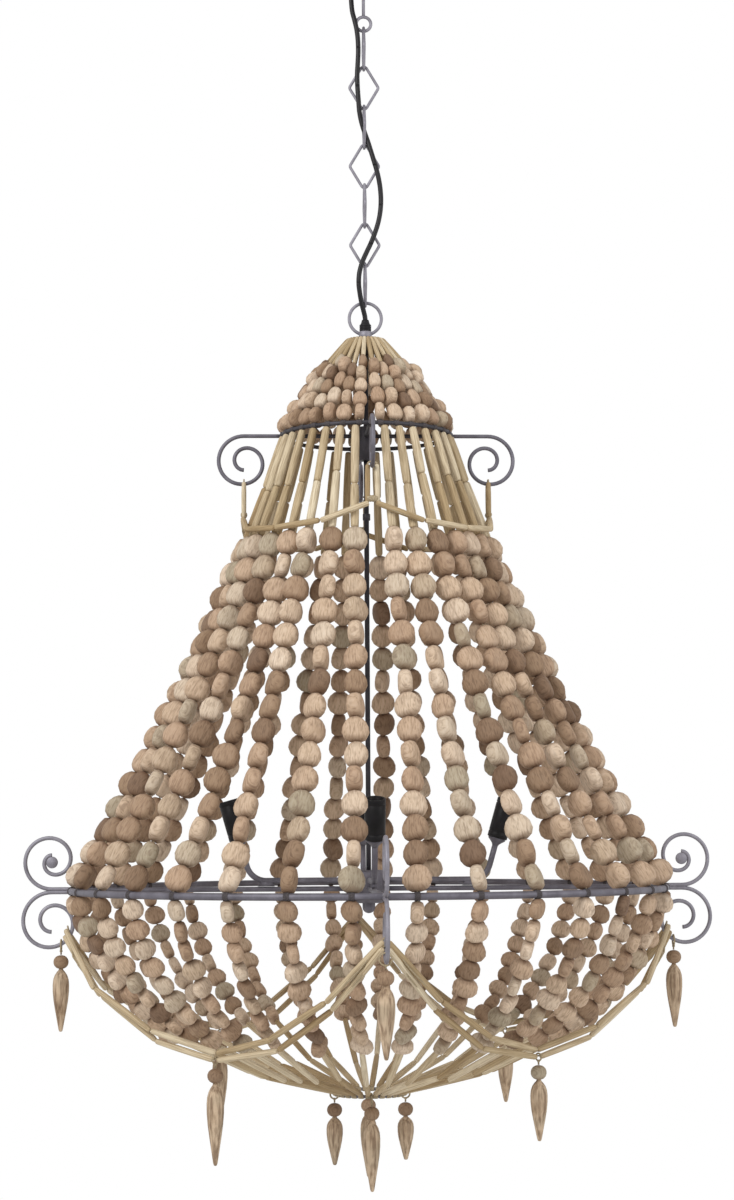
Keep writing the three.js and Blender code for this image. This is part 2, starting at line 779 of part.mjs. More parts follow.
const basketTopHeight = lowerRingHeight - stringSeat(lowerBar);
const basketFootHeight = bottomRingHeight + stringSeat(bottomBar);
const basketTop = new THREE.Vector2(lowerRingRadius, basketTopHeight);
const basketBend = new THREE.Vector2(lowerRingRadius - basketTuck, basketFootHeight + basketRound);
const basketFoot = new THREE.Vector2(bottomRingRadius, basketFootHeight);
const basketLine = new THREE.QuadraticBezierCurve(basketTop, basketBend, basketFoot);

const crownStart = new THREE.Vector2(capRadius + restGap + stringRadius, crownTop);
const crownFoot = new THREE.Vector2(upperRingRadius, upperRingHeight + stringSeat(upperBar));
const crownMiddle = crownStart.clone().add(crownFoot).multiplyScalar(1 / 2);
crownMiddle.x += 2 * crownBulge;
const crownLine = new THREE.QuadraticBezierCurve(crownStart, crownMiddle, crownFoot);

// The stations of one string, from its top to its foot: the widest place of each stick
// and bead and the neck between two. Beads lie face on or edge on by turns, and no piece
// is wider than its share of the room round the lamp.
function stationsOf(line, sticks, beads, sticksFirst, seed) {
  const whole = line.getLength();
  const beadPitch = (whole - sticks.count * sticks.length) / beads.count;
  const { radius } = sticks;
  const stick = { length: sticks.length, out: radius, side: radius, neck: radius * stickNeckShare };
  const beadRow = Array.from({ length: beads.count }, (unused, index) => {
    const share = sizeShares[(index + 3 * seed) % sizeShares.length];
    const faceOn = (index + seed) % 3 !== 0;
    const wide = beads.radius * share;
    const thin = beads.halfDepth * share;
    return { length: beadPitch, out: faceOn ? thin : wide, side: faceOn ? wide : thin, neck: neckRadius };
  });
  const stickRow = Array.from({ length: sticks.count }, () => stick);
  const row = sticksFirst ? [...stickRow, ...beadRow] : [...beadRow, ...stickRow];
  const stations = [{ share: 0, out: stringRadius, side: stringRadius }];
  let at = 0;
  row.forEach((piece, index) => {
    const share = (at + piece.length / 2) / whole;
    const room = (Math.PI * line.getPointAt(share).x - restGap) / strandCount;
    stations.push({ share, out: piece.out, side: Math.min(piece.side, room) });
    at += piece.length;
    const last = index === row.length - 1;
    const neck = last ? stringRadius : Math.min(piece.neck, row[index + 1].neck);
    stations.push({ share: last ? 1 : at / whole, out: neck, side: neck });
  });
  return stations;
}

// Strings knotted one after another on one thread: down the first, along the ring and up
// the next, so that each group is one thread with its beads.
function threadedStrings(line, angles, stationsFor) {
  const rings = [];
  const endPoint = (angle, share) => {
    const place = line.getPointAt(share);
    return around(place.x, angle, place.y);
  };
  angles.forEach((angle, index) => {
    const down = index % 2 === 0;
    const stations = stationsFor(index);
    const ordered = down ? stations : [...stations].reverse();
    ordered.forEach((station, k) => {
      const place = line.getPointAt(station.share);
      const slope = line.getTangentAt(station.share);
      const along = around(slope.x, angle, slope.y).multiplyScalar(down ? 1 : -1);
      const outward = around(-slope.y, angle, slope.x);
      const first = k === 0 && index > 0;
      const last = k === ordered.length - 1 && index < angles.length - 1;
      const neighbour = angles[index + (last ? 1 : -1)];
      if (first || last) {
        const here = endPoint(angle, station.share);
        const there = endPoint(neighbour, station.share);
        const turn = there.sub(here).normalize();
        along.add(last ? turn : turn.negate()).normalize();
      }
      const middle = around(place.x, angle, place.y);
      rings.push(beadRing(middle, along, outward, station.out, station.side, stringSides));
    });
  });
  return skinned(rings, false);
}

const strandAngle = (index) => ((index + 1 / 2) * 2 * Math.PI) / strandCount;
const curtainSticks = { count: curtainStickCount, length: curtainStickLength, radius: curtainStickRadius };
const curtainBeads = { count: curtainBeadCount, radius: curtainBeadRadius, halfDepth: curtainBeadHalfDepth };
const basketSticks = { count: basketStickCount, length: basketStickLength, radius: basketStickRadius };
const basketBeads = { count: basketBeadCount, radius: basketBeadRadius, halfDepth: basketBeadHalfDepth };
const crownSticks = { count: crownStickCount, length: crownStickLength, radius: crownStickRadius };
const crownBeads = { count: crownBeadCount, radius: crownBeadRadius, halfDepth: crownBeadHalfDepth };

{
  const angles = Array.from({ length: strandCount }, (unused, index) => strandAngle(index));
  const stationsFor = (index) => stationsOf(crownLine, crownSticks, crownBeads, true, index);
  add('crown_strings', threadedStrings(crownLine, angles, stationsFor), wornWood);
}

const groupCount = strandCount / cornerNames.length;
cornerNames.forEach((corner, group) => {
  const first = group * groupCount;
  const angles = Array.from({ length: groupCount }, (unused, index) => strandAngle(first + index));
  const curtainFor = (index) => stationsOf(curtainLine, curtainSticks, curtainBeads, true, index + group);
  const basketFor = (index) => stationsOf(basketLine, basketSticks, basketBeads, false, index + group);
  add(`curtain_strings_${corner}`, threadedStrings(curtainLine, angles, curtainFor), wornWood);
  add(`basket_strings_${corner}`, threadedStrings(basketLine, angles, basketFor), wornWood);
});

// A garland's bow from one scroll to the next: it hangs in a bow and lies against the
// strings behind it, never further out than a given reach from the axis.
class BowCurve extends THREE.Curve {
  constructor(tie, sag, line, reach, furthest) {
    super();
    this.tie = tie;
    this.sag = sag;
    this.line = line;
    this.reach = reach;
    this.furthest = furthest;
  }

  getPoint(t, target = new THREE.Vector3()) {
    const angle = quarter * t;
    const run = Math.sin(angle) / (Math.sin(angle) + Math.cos(angle));
    const height = this.tie.y - 4 * this.sag * run * (1 - run);
    const straight = this.tie.x / (Math.sin(angle) + Math.cos(angle));
    const share = shareWhere((place) => this.line.getPoint(place).y, height);
    const held = this.line.getPoint(share).x + this.reach;
    const radius = Math.min(Math.max(straight, held), this.furthest);
    return target.copy(around(radius, angle, height));
  }
}

// The stations of one bow: its start, the sticks' middles and the necks between them, with
// a bare piece of string at the lowest point when a drop hangs there.
function bowStations(bow, stickCount, bareMiddle, startShare) {
  const stations = [{ share: startShare, radius: stringRadius }];
  const bareShare = garlandKnotLength / 2 / bow.getLength();
  const placeOf = (count) => startShare + ((1 - 2 * startShare) * count) / stickCount;
  for (let k = 0; k < stickCount; k += 1) {
    stations.push({ share: placeOf(k + 1 / 2), radius: garlandStickRadius });
    if (bareMiddle && 2 * (k + 1) === stickCount) {
      stations.push({ share: 1 / 2 - bareShare, radius: stringRadius });
      stations.push({ share: 1 / 2 + bareShare, radius: stringRadius });
    } else if (k + 1 < stickCount) {
      stations.push({ share: placeOf(k + 1), radius: garlandStickRadius * stickNeckShare });
    }
  }
  return stations;
}

// One round of a garland: its rings from the first side, four bows on. The ties are level.
function garlandRound(bow, stickCount, bareMiddle, firstSide) {
  const rings = [];
  for (let span = 0; span < sideNames.length; span += 1) {
    const turn = (firstSide + span) * quarter;
    const axis = new THREE.Vector3(0, 0, 1);
    for (const { share, radius } of bowStations(bow, stickCount, bareMiddle, 0)) {
      const point = bow.getPointAt(share).applyAxisAngle(axis, turn);
      const level = new THREE.Vector3(0, 1, 0);
      const along = (share === 0 ? level : bow.getTangentAt(share)).applyAxisAngle(axis, turn);
      rings.push({ point, along, radius });
    }
  }
  return rings;
}

function garlandSkin(places, endless) {
  const rings = places.map(({ point, along, radius }) => {
    const outward = new THREE.Vector3(point.x, point.y, 0).normalize();
    return beadRing(point, along, outward, radius, radius, stringSides);
  });
  return skinned(rings, endless);
}

// Where a garland is tied on a scroll: inside the curl, resting on the wire.
function tieOn(scroll, turns, spare) {
  const place = scroll.placeAt(turns);
  const middle = new THREE.Vector2(scroll.reach, scroll.height + scroll.rise * scroll.outer);
  const inward = middle.sub(place).normalize();
  return place.addScaledVector(inward, scrollWire / 2 + restGap + stringRadius + spare);
}

// The upper garland's bows hang on short strings: at each side the string goes up beside
// the scroll's wire, over it and down again.
function hungRound(tie, bow) {
  const beside = scrollWire / 2 + restGap + stringRadius + hangerSpare;
  const shoulder = tie.y - beside / 2;
  const footShare = beside / bow.getLength();
  const stations = bowStations(bow, upperGarlandSticks, false, footShare);
  stations.push({ share: 1 - footShare, radius: stringRadius });
  const down = new THREE.Vector3(0, 0, -1);
  const rings = [];
  const place = (point, along, radius, turn) => {
    const axis = new THREE.Vector3(0, 0, 1);
    rings.push({ point: point.applyAxisAngle(axis, turn), along: along.applyAxisAngle(axis, turn), radius });
  };
  for (let span = 0; span < sideNames.length; span += 1) {
    const turn = span * quarter;
    const level = new THREE.Vector3(0, 1, 0);
    place(new THREE.Vector3(tie.x, 0, tie.y), level.clone(), stringRadius, turn);
    const falling = level.clone().add(down).normalize();
    place(new THREE.Vector3(tie.x, beside, shoulder), falling, stringRadius, turn);
    stations.forEach(({ share, radius }, index) => {
      const along = bow.getTangentAt(share);
      if (index === 0) along.add(down).normalize();
      if (index === stations.length - 1) along.sub(down).normalize();
      place(bow.getPointAt(share), along, radius, turn);
    });
    const rising = level.clone().sub(down).normalize();
    place(new THREE.Vector3(tie.x, -beside, shoulder), rising, stringRadius, turn + quarter);
  }
  return rings;
}

{
  const tie = tieOn(upperScroll, 1 / 2, hangerSpare);
  const bowTie = new THREE.Vector2(tie.x, tie.y - upperGarlandHang);
  const furthest = tie.x + upperGarlandReach;
  const bow = new BowCurve(bowTie, upperGarlandSag, curtainLine, upperGarlandReach, furthest);
  add('upper_garland', garlandSkin(hungRound(tie, bow), true), strawWood);
}

// Lower garland: one string that starts at the back scroll, goes round once, turns back
// beneath itself and goes round again the other way.
const secondTie = tieOn(fallingScroll, secondTieTurns, tieSpare);
const secondBow = new BowCurve(secondTie, lowerGarlandSag, basketLine, garlandReach, secondTie.x);
{
  const firstTie = tieOn(fallingScroll, firstTieTurns, tieSpare);
  const firstBow = new BowCurve(firstTie, lowerGarlandSag, basketLine, garlandReach, firstTie.x);
  const out = garlandRound(firstBow, lowerGarlandSticks, false, 1);
  const home = garlandRound(secondBow, lowerGarlandSticks, true, 1).reverse();
  home.forEach((place) => place.along.negate());
  const backwards = new THREE.Vector3(1, 0, 0);
  const turnStart = 2 * stringRadius + restGap;
  const turnRun = turnStart + firstBow.tie.distanceTo(secondBow.tie) / 2;
  const bend = (tie, run, along) => {
    const point = around(tie.x, quarter, tie.y).addScaledVector(backwards, run);
    return { point, along, radius: stringRadius };
  };
  const middle = firstBow.tie.clone().add(secondBow.tie).multiplyScalar(1 / 2);
  const down = secondBow.tie.clone().sub(firstBow.tie).normalize();
  out.push(bend(firstBow.tie, turnRun, new THREE.Vector3(-1, 0, 0)));
  out.push(bend(middle, turnStart, around(down.x, quarter, down.y)));
  out.push(bend(secondBow.tie, turnRun, backwards));
  add('lower_garland', garlandSkin([...out, ...home], false), strawWood);
}

// A drop that hangs from the middle of what holds it: a string loop, a bead and a
// spindle turned in wood. The loop's hole faces the right or the front.
function woodenDrop(held, lengthShare, holeToRight) {
  const apothem = Math.cos(Math.PI / dropLoopSteps);
  const loopRadius = (held + restGap + dropLoopWire / 2 + dropLoopSpare) / apothem;
  const loopMiddleHeight = -dropLoopSpare;
  const loop = new THREE.TorusGeometry(loopRadius, dropLoopWire / 2, stringSides, dropLoopSteps);
  loop.rotateX(quarter);
  if (holeToRight) loop.rotateZ(quarter);
  loop.translate(0, 0, loopMiddleHeight);
  const top = loopMiddleHeight - loopRadius;
  const beadTop = top - dropStringLength;
  const beadFoot = beadTop - dropBeadHeight;
  const length = spindleLength * lengthShare;
  const profile = [[0, beadFoot - length], [spindleTipRadius, beadFoot - length]];
  profile.push([spindleRadius * spindleBodyWidthShare, beadFoot - length * spindleBodyShare]);
  profile.push([spindleRadius, beadFoot - length * spindleShoulderShare]);
  profile.push([spindleRadius * spindleNeckShare, beadFoot], [dropBeadRadius, (beadTop + beadFoot) / 2]);
  profile.push([stringRadius, beadTop], [stringRadius, top], [0, top]);
  return geometryOf(joined([loop, turned(profile, dropSides)]));
}

const scrollDropPlace = fallingScroll.placeAt(scrollDropTurns);
sideNames.forEach((side, index) => {
  const drop = woodenDrop(scrollWire / 2 + scrollDropSpare, scrollDropShares[index], true);
  drop.translate(scrollDropPlace.x, 0, scrollDropPlace.y);
  add(`scroll_drop_${side}`, drop.rotateZ(index * quarter), wornWood);
});

const lowestPoint = secondBow.getPointAt(1 / 2);
cornerNames.forEach((corner, index) => {
  const drop = woodenDrop(stringRadius, garlandDropShares[index], false);
  drop.translate(Math.hypot(lowestPoint.x, lowestPoint.y), 0, lowestPoint.z);
  add(`garland_drop_${corner}`, drop.rotateZ((index + 1 / 2) * quarter), wornWood);
});

sideNames.forEach((side, index) => {
  const drop = woodenDrop(bottomBar / 2, bottomDropShares[index], false);
  drop.translate(bottomRingRadius, 0, bottomRingHeight);
  add(`bottom_drop_${side}`, drop.rotateZ(index * quarter), wornWood);
});

export default chandelier;
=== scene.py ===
import math
import random

import bmesh
import bpy
from mathutils import Matrix, Vector
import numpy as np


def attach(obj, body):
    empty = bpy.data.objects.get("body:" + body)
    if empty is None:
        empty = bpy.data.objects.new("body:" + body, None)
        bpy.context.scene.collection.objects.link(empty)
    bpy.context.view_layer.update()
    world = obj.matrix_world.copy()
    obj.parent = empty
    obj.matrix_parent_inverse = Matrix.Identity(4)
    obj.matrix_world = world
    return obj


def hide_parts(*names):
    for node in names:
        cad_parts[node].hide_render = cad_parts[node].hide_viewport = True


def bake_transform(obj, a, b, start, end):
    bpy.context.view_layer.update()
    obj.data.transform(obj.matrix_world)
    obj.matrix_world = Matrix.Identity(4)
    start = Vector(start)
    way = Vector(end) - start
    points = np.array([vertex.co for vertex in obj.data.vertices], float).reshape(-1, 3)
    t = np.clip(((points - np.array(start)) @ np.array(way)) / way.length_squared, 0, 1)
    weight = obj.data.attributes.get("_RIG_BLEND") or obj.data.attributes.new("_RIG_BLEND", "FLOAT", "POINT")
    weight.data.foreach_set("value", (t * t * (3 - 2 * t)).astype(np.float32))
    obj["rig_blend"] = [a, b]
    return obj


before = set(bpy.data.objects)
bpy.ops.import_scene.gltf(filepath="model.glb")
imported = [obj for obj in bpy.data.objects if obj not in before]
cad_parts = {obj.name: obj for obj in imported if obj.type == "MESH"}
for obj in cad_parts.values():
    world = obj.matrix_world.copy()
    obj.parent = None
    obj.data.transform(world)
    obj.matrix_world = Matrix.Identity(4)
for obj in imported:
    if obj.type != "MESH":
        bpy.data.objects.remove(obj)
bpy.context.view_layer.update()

# Camera: it stands in front of the lamp at the height of the holders and looks a little up.
# The picture is 734 by 1200; the lens and the distance come from the rings' ovals.
camera_lens = bpy.data.cameras.new("camera")
camera_lens.sensor_fit = "VERTICAL"
camera_lens.sensor_height = 36.0
camera_lens.lens = 72.3
camera_lens.clip_end = 50.0
camera = bpy.data.objects.new("camera", camera_lens)
bpy.context.collection.objects.link(camera)
camera_turn = math.radians(-2.7)
camera_pitch = math.radians(5.4)
camera_roll = math.radians(-0.35)
camera_reach = 2.893
camera_place = Vector((math.sin(camera_turn), -math.cos(camera_turn), 0)) * camera_reach
camera_place.z = -1.065
looking = Matrix.Rotation(camera_turn, 4, "Z") @ Matrix.Rotation(math.pi / 2 + camera_pitch, 4, "X")
looking = looking @ Matrix.Rotation(camera_roll, 4, "Z")
camera.matrix_world = Matrix.Translation(camera_place) @ looking
bpy.context.scene.camera = camera
bpy.context.scene.view_settings.view_transform = "Standard"


# Supply cord: a black round cord with a PVC sheath, threaded down through the chain from
# the terminal block to the grip. It is one cord, made in a stretch for each chain joint.
MM = 0.001


def smooth_route(points, per_span):
    """A centripetal curve through the points, with so many steps from one to the next."""
    points = [Vector(p) for p in points]
    points = [2 * points[0] - points[1], *points, 2 * points[-1] - points[-2]]
    route = []
    for a, b, c, d in zip(points, points[1:], points[2:], points[3:]):
        ta = (b - a).length ** 0.5
        tb = (c - b).length ** 0.5
        tc = (d - c).length ** 0.5
        slope_b = ((b - a) / ta - (c - a) / (ta + tb) + (c - b) / tb) * tb
        slope_c = ((c - b) / tb - (d - b) / (tb + tc) + (d - c) / tc) * tb
        for k in range(per_span):
            t = k / per_span
            h = (2 * t**3 - 3 * t**2 + 1, t**3 - 2 * t**2 + t, 3 * t**2 - 2 * t**3, t**3 - t**2)
            route.append(b * h[0] + slope_b * h[1] + c * h[2] + slope_c * h[3])
    route.append(points[-2])
    return route


def upright_frames(points, endless):
    """For each point the way the line runs and two ways across it, carried along unturned."""
    count = len(points)
    runs = []
    for k in range(count):
        before = points[(k - 1) % count] if endless or k > 0 else points[k]
        after = points[(k + 1) % count] if endless or k < count - 1 else points[k]
        runs.append((after - before).normalized())
    first = Vector((0, 0, 1)) if abs(runs[0].z) < 0.9 else Vector((0, -1, 0))
    across = (first - runs[0] * first.dot(runs[0])).normalized()
    frames = []
    for run in runs:
        across = (across - run * across.dot(run)).normalized()
        frames.append((run, across, run.cross(across)))
    return frames


def skin(rings, endless):
    """Points and faces of a skin over rings of points, with its two ends closed."""
    sides = len(rings[0])
    points = [p for ring in rings for p in ring]
    faces = []
    for i in range(len(rings) if endless else len(rings) - 1):
        here, there = i * sides, (i + 1) % len(rings) * sides
        for j in range(sides):
            k = (j + 1) % sides
            faces.append((here + j, here + k, there + k, there + j))
    if not endless:
        last = (len(rings) - 1) * sides
        faces.append(tuple(reversed(range(sides))))
        faces.append(tuple(last + j for j in range(sides)))
    return points, faces


def wire(points, radius, sides, endless=False):
    """A round wire along a line of points. radius is one number or one for each point."""
    radii = radius if isinstance(radius, list) else [radius] * len(points)
    rings = []
    for point, r, (run, across, beside) in zip(points, radii, upright_frames(points, endless)):
        ring = []
        for k in range(sides):
            a = 2 * math.pi * k / sides
            ring.append(point + across * (r * math.cos(a)) + beside * (r * math.sin(a)))
        rings.append(ring)
    return skin(rings, endless)


def shaped(name, *parts, smooth=True):
    """One object from parts of points and faces in millimetres, with smooth faces."""
    points, faces = [], []
    for part_points, part_faces in parts:
        start = len(points)
        points += [tuple(Vector(p) * MM) for p in part_points]
        faces += [tuple(start + i for i in face) for face in part_faces]
    mesh = bpy.data.meshes.new(name)
    mesh.from_pydata(points, [], faces)
    mesh.validate()
    if smooth:
        mesh.shade_smooth()
    made = bpy.data.objects.new(name, mesh)
    bpy.context.collection.objects.link(made)
    return made


def colour(code, alpha=1.0):
    """An sRGB hex colour as linear numbers."""
    parts = [int(code[i : i + 2], 16) / 255 for i in (1, 3, 5)]
    linear = [p / 12.92 if p <= 0.04045 else ((p + 0.055) / 1.055) ** 2.4 for p in parts]
    return (*linear, alpha)


def node(tree, kind, inputs=None, stops=(), **settings):
    """Adds a node with its settings. An input takes a value, a socket, a node that gives its
    first output, or a list of these. stops are a colour ramp's places and colours."""
    made = tree.nodes.new(kind)
    for name, value in settings.items():
        setattr(made, name, value)
    for _ in stops[2:]:
        made.color_ramp.elements.new(0.5)
    for number, (place, code) in enumerate(stops):
        made.color_ramp.elements[number].position = place
        made.color_ramp.elements[number].color = colour(code)
    for name, wanted in (inputs or {}).items():
        for value in wanted if isinstance(wanted, list) else [wanted]:
            if isinstance(value, bpy.types.Node):
                value = value.outputs[0]
            if isinstance(value, bpy.types.NodeSocket):
                tree.links.new(value, made.inputs[name])
            else:
                made.inputs[name].default_value = value
    return made


def new_material(name):
    """A new material and its tree, emptied."""
    material = bpy.data.materials.new(name)
    material.use_nodes = True
    material.node_tree.nodes.clear()
    return material, material.node_tree


def surface(tree, base, rough, height, strength, depth, also=None):
    """Ends a material with its colour, its roughness and a relief of so many millimetres."""
    relief = node(
        tree, "ShaderNodeBump", {"Height": height, "Strength": strength, "Distance": depth * MM}
    )
    given = {"Base Color": base, "Roughness": rough, "Normal": relief, **(also or {})}
    shader = node(tree, "ShaderNodeBsdfPrincipled", given)
    node(tree, "ShaderNodeOutputMaterial", {0: shader})


# PVC is smooth and a little shiny; the fine ripple is what the wires inside press out.
ripple_length = 2.5
pvc_sheath, tree = new_material("extruded_pvc_sheath")
place = node(tree, "ShaderNodeTexCoord").outputs["Object"]
ripple = node(
    tree, "ShaderNodeTexNoise", {"Vector": place, "Scale": 1 / (ripple_length * MM), "Detail": 2.0}
)
dust = node(tree, "ShaderNodeTexNoise", {"Vector": place, "Scale": 1 / (14 * MM), "Detail": 4.0})
shade = node(tree, "ShaderNodeValToRGB", {0: dust}, stops=[(0.35, "#0E0D0F"), (0.7, "#1B191C")])
gloss = node(tree, "ShaderNodeMapRange", {0: dust, 3: 0.36, 4: 0.52})
surface(tree, shade, gloss, ripple, 0.25, 0.1, {"Specular IOR Level": 0.3})

cord_width = 6.0
cord_points = [
    (-15.35, 0, -12.6), (-15.4, 0, -36), (-14, -2.6, -62), (-11.2, -5, -75),
    (-8.6, -6.2, -88), (-7.2, -5.6, -101), (-6.9, -5.2, -114), (-7.5, -5.6, -128),
    (-8.4, -5.8, -144), (-8, -5.9, -161), (-6.9, -5.6, -177), (-5.9, -4.7, -190),
    (-3.4, -3.9, -203), (0.2, -3.4, -215), (4.2, -3.9, -227), (8, -5.4, -240),
    (12, -6.4, -254), (15.8, -6.4, -268), (18.6, -5.8, -283), (19.8, -5, -299),
    (19, -5.2, -314), (16.2, -6.2, -329), (11.8, -6.8, -343), (6.6, -7.4, -356),
    (1, -8.4, -368), (-4, -9.8, -380), (-7.4, -11, -393), (-8.2, -10.8, -406),
    (-6.8, -9.2, -418), (-4.7, -6.4, -429), (-2.2, -3, -438), (-0.6, -0.8, -444), (0, 0, -448.6),
]
chain_bodies = ["ceiling_fitting", *[f"link_{k}" for k in range(1, 8)], "lamp"]

# The chain swings half a link's run below each link's middle. The cord bends over a length
# of twice bend_room about each joint, and one stretch meets the next at a link's middle.
link_pitch, half_run, bend_room = 49.3, 26.6, 14
link_middles = [-109.5 - k * link_pitch for k in range(7)]
chain_pivots = [-87.0, *[z - half_run for z in link_middles]]
route = smooth_route(cord_points, 12)
cuts = [min(range(len(route)), key=lambda k: abs(route[k].z - z)) for z in link_middles]
cuts = [0, *cuts, len(route) - 1]
for k in range(8):
    line = route[cuts[k] : cuts[k + 1] + 1 : 2]
    if line[-1] is not route[cuts[k + 1]]:
        line.append(route[cuts[k + 1]])
    stretch = shaped(f"cord_{k + 1}", wire(line, cord_width / 2, 14))
    stretch.data.materials.append(pvc_sheath)
    length = sum((b - a).length for a, b in zip(line, line[1:])) * MM
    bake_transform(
        stretch, chain_bodies[k], chain_bodies[k + 1],
        start=(0, 0, (chain_pivots[k] + bend_room) * MM),
        end=(0, 0, (chain_pivots[k] - bend_room) * MM),
    )
    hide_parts(f"cord_stretch_{k + 1}")


# Studio: a white room with a pale floor below the picture, a soft sky all round and two
# large soft lamps, the key from the upper left and a fill from the right.
world = bpy.data.worlds.new("studio")
bpy.context.scene.world = world
world.use_nodes = True
tree = world.node_tree
tree.nodes.clear()
rays = node(tree, "ShaderNodeLightPath")
seen = rays.outputs["Is Camera Ray"]
for kind in ("Is Transmission Ray", "Is Glossy Ray"):
    seen = node(tree, "ShaderNodeMath", {0: seen, 1: rays.outputs[kind]}, operation="MAXIMUM")
sky = node(tree, "ShaderNodeBackground", {"Color": (1, 1, 1, 1), "Strength": 0.62})
white = node(tree, "ShaderNodeBackground", {"Color": (1, 1, 1, 1), "Strength": 1.0})
sight = node(tree, "ShaderNodeMixShader", {0: seen, 1: sky, 2: white})
node(tree, "ShaderNodeOutputWorld", {0: sight})


def soft_lamp(name, place, aim, size, power):
    """A square soft lamp that shines from one point towards another."""
    light = bpy.data.lights.new(name, "AREA")
    light.size = size
    light.energy = power
    lamp = bpy.data.objects.new(name, light)
    bpy.context.collection.objects.link(lamp)
    lamp.location = place
    lamp.rotation_euler = (Vector(aim) - Vector(place)).to_track_quat("-Z", "Y").to_euler()


lamp_middle = (0, 0, -0.97)
soft_lamp("key", (-1.9, -2.4, 0.9), lamp_middle, 1.4, 62)
soft_lamp("fill", (2.4, -1.8, -0.2), lamp_middle, 1.6, 22)

reach, below = 3000, -2500
floor_corners = [(-reach, -reach), (reach, -reach), (reach, reach), (-reach, reach)]
floor = shaped("floor", ([(x, y, below) for x, y in floor_corners], [(0, 1, 2, 3)]))
pale_floor, tree = new_material("painted_floor")
place = node(tree, "ShaderNodeTexCoord").outputs["Object"]
clouds = node(tree, "ShaderNodeTexNoise", {"Vector": place, "Scale": 1 / (400 * MM), "Detail": 2.0})
shade = node(tree, "ShaderNodeValToRGB", {0: clouds}, stops=[(0.3, "#F1F0EE"), (0.7, "#F5F4F2")])
paint = node(tree, "ShaderNodeBsdfPrincipled", {"Base Color": shade, "Roughness": 0.85})
node(tree, "ShaderNodeOutputMaterial", {0: paint})
floor.data.materials.append(pale_floor)


# Ceiling fitting: a flat steel bar screwed to the ceiling, the spun cup over it and the
# screwed loop whose collar holds the cup up. All of it is dull grey lacquered steel.
def turned(profile, sides):
    """A turned piece round the upright axis from points of radius and height."""
    points, faces, rows = [], [], []
    for r, z in profile:
        rows.append((len(points), r > 0))
        for k in range(sides if r > 0 else 1):
            a = 2 * math.pi * k / sides
            points.append(Vector((r * math.cos(a), r * math.sin(a), z)))
    for (here, open_here), (there, open_there) in zip(rows, rows[1:]):
        for k in range(sides):
            n = (k + 1) % sides
            ring = [here + n * open_here, here + k * open_here]
            ring += [there + k * open_there, there + n * open_there]
            face = tuple(dict.fromkeys(ring))
            if len(face) > 2:
                faces.append(face)
    return points, faces


def moved(part, shift=(0, 0, 0), turn=0.0, lean=0.0):
    """A part leaned towards +X, shifted and then turned about the lamp's axis."""
    points, faces = part
    place = Matrix.Rotation(turn, 4, "Z") @ Matrix.Translation(shift)
    place = place @ Matrix.Rotation(lean, 4, "Y")
    return [place @ Vector(p) for p in points], faces


def outward(piece):
    """Merges doubled points and turns every face outwards."""
    work = bmesh.new()
    work.from_mesh(piece.data)
    bmesh.ops.remove_doubles(work, verts=work.verts, dist=0.00001)
    bmesh.ops.recalc_face_normals(work, faces=work.faces)
    work.to_mesh(piece.data)
    work.free()


def fitted(piece, material, body, slot, *nodes):
    """Turns a piece's faces outwards, gives it its material and its body and hides the CAD nodes it stands
    for. slot is not used."""
    outward(piece)
    piece.data.materials.append(material)
    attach(piece, body)
    if nodes:
        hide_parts(*nodes)


# Lacquer over drawn steel is matt with cloudy patches, and rubbed lighter in small spots. Two copies are the
# same lacquer with light and shade painted in. The paler one has painted light, for the chain, the loops and
# the lower scrolls. The darker one has painted shade, for the rod, the upper hub and the upper frame, which
# hang in shade inside the strings.
lacquers = []
for name, shades, worn in (
    ("grey_lacquered_steel", [(0.3, "#57545C"), (0.55, "#6A6770"), (0.75, "#7C7982")], "#8F8C94"),
    # A paler copy of the same lacquer: painted light.
    ("thinly_lacquered_wire", [(0.3, "#77747C"), (0.55, "#8B8891"), (0.75, "#9F9CA4")], "#AFACB3"),
    # A darker copy of the same lacquer: painted shade, for the parts in shade inside the strings.
    ("dark_lacquered_steel", [(0.3, "#2F2D32"), (0.55, "#3C3A40"), (0.75, "#4A474E")], "#5B5860"),
):
    lacquered, tree = new_material(name)
    place = node(tree, "ShaderNodeTexCoord").outputs["Object"]
    patches = node(
        tree, "ShaderNodeTexNoise",
        {"Vector": place, "Scale": 1 / (18 * MM), "Detail": 5.0, "Roughness": 0.6},
    )
    grit = node(
        tree, "ShaderNodeTexNoise", {"Vector": place, "Scale": 1 / (1.2 * MM), "Detail": 3.0}
    )
    rubbed = node(tree, "ShaderNodeTexVoronoi", {"Vector": place, "Scale": 1 / (9 * MM)})
    base = node(tree, "ShaderNodeValToRGB", {0: patches}, stops=shades)
    spots = node(tree, "ShaderNodeMapRange", {0: rubbed, 1: 0.0, 2: 0.16, 3: 0.35, 4: 0.0})
    blended = node(
        tree, "ShaderNodeMix", {0: spots, 6: base, 7: colour(worn)}, data_type="RGBA"
    ).outputs[2]
    rough = node(tree, "ShaderNodeMapRange", {0: patches, 3: 0.42, 4: 0.62})
    surface(tree, blended, rough, grit, 0.3, 0.08, {"Metallic": 0.4})
    lacquers.append(lacquered)
grey_lacquer, painted_light_lacquer, painted_shade_lacquer = lacquers

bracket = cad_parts["ceiling_bracket"]
bracket.data.materials.clear()
bracket.data.materials.append(grey_lacquer)

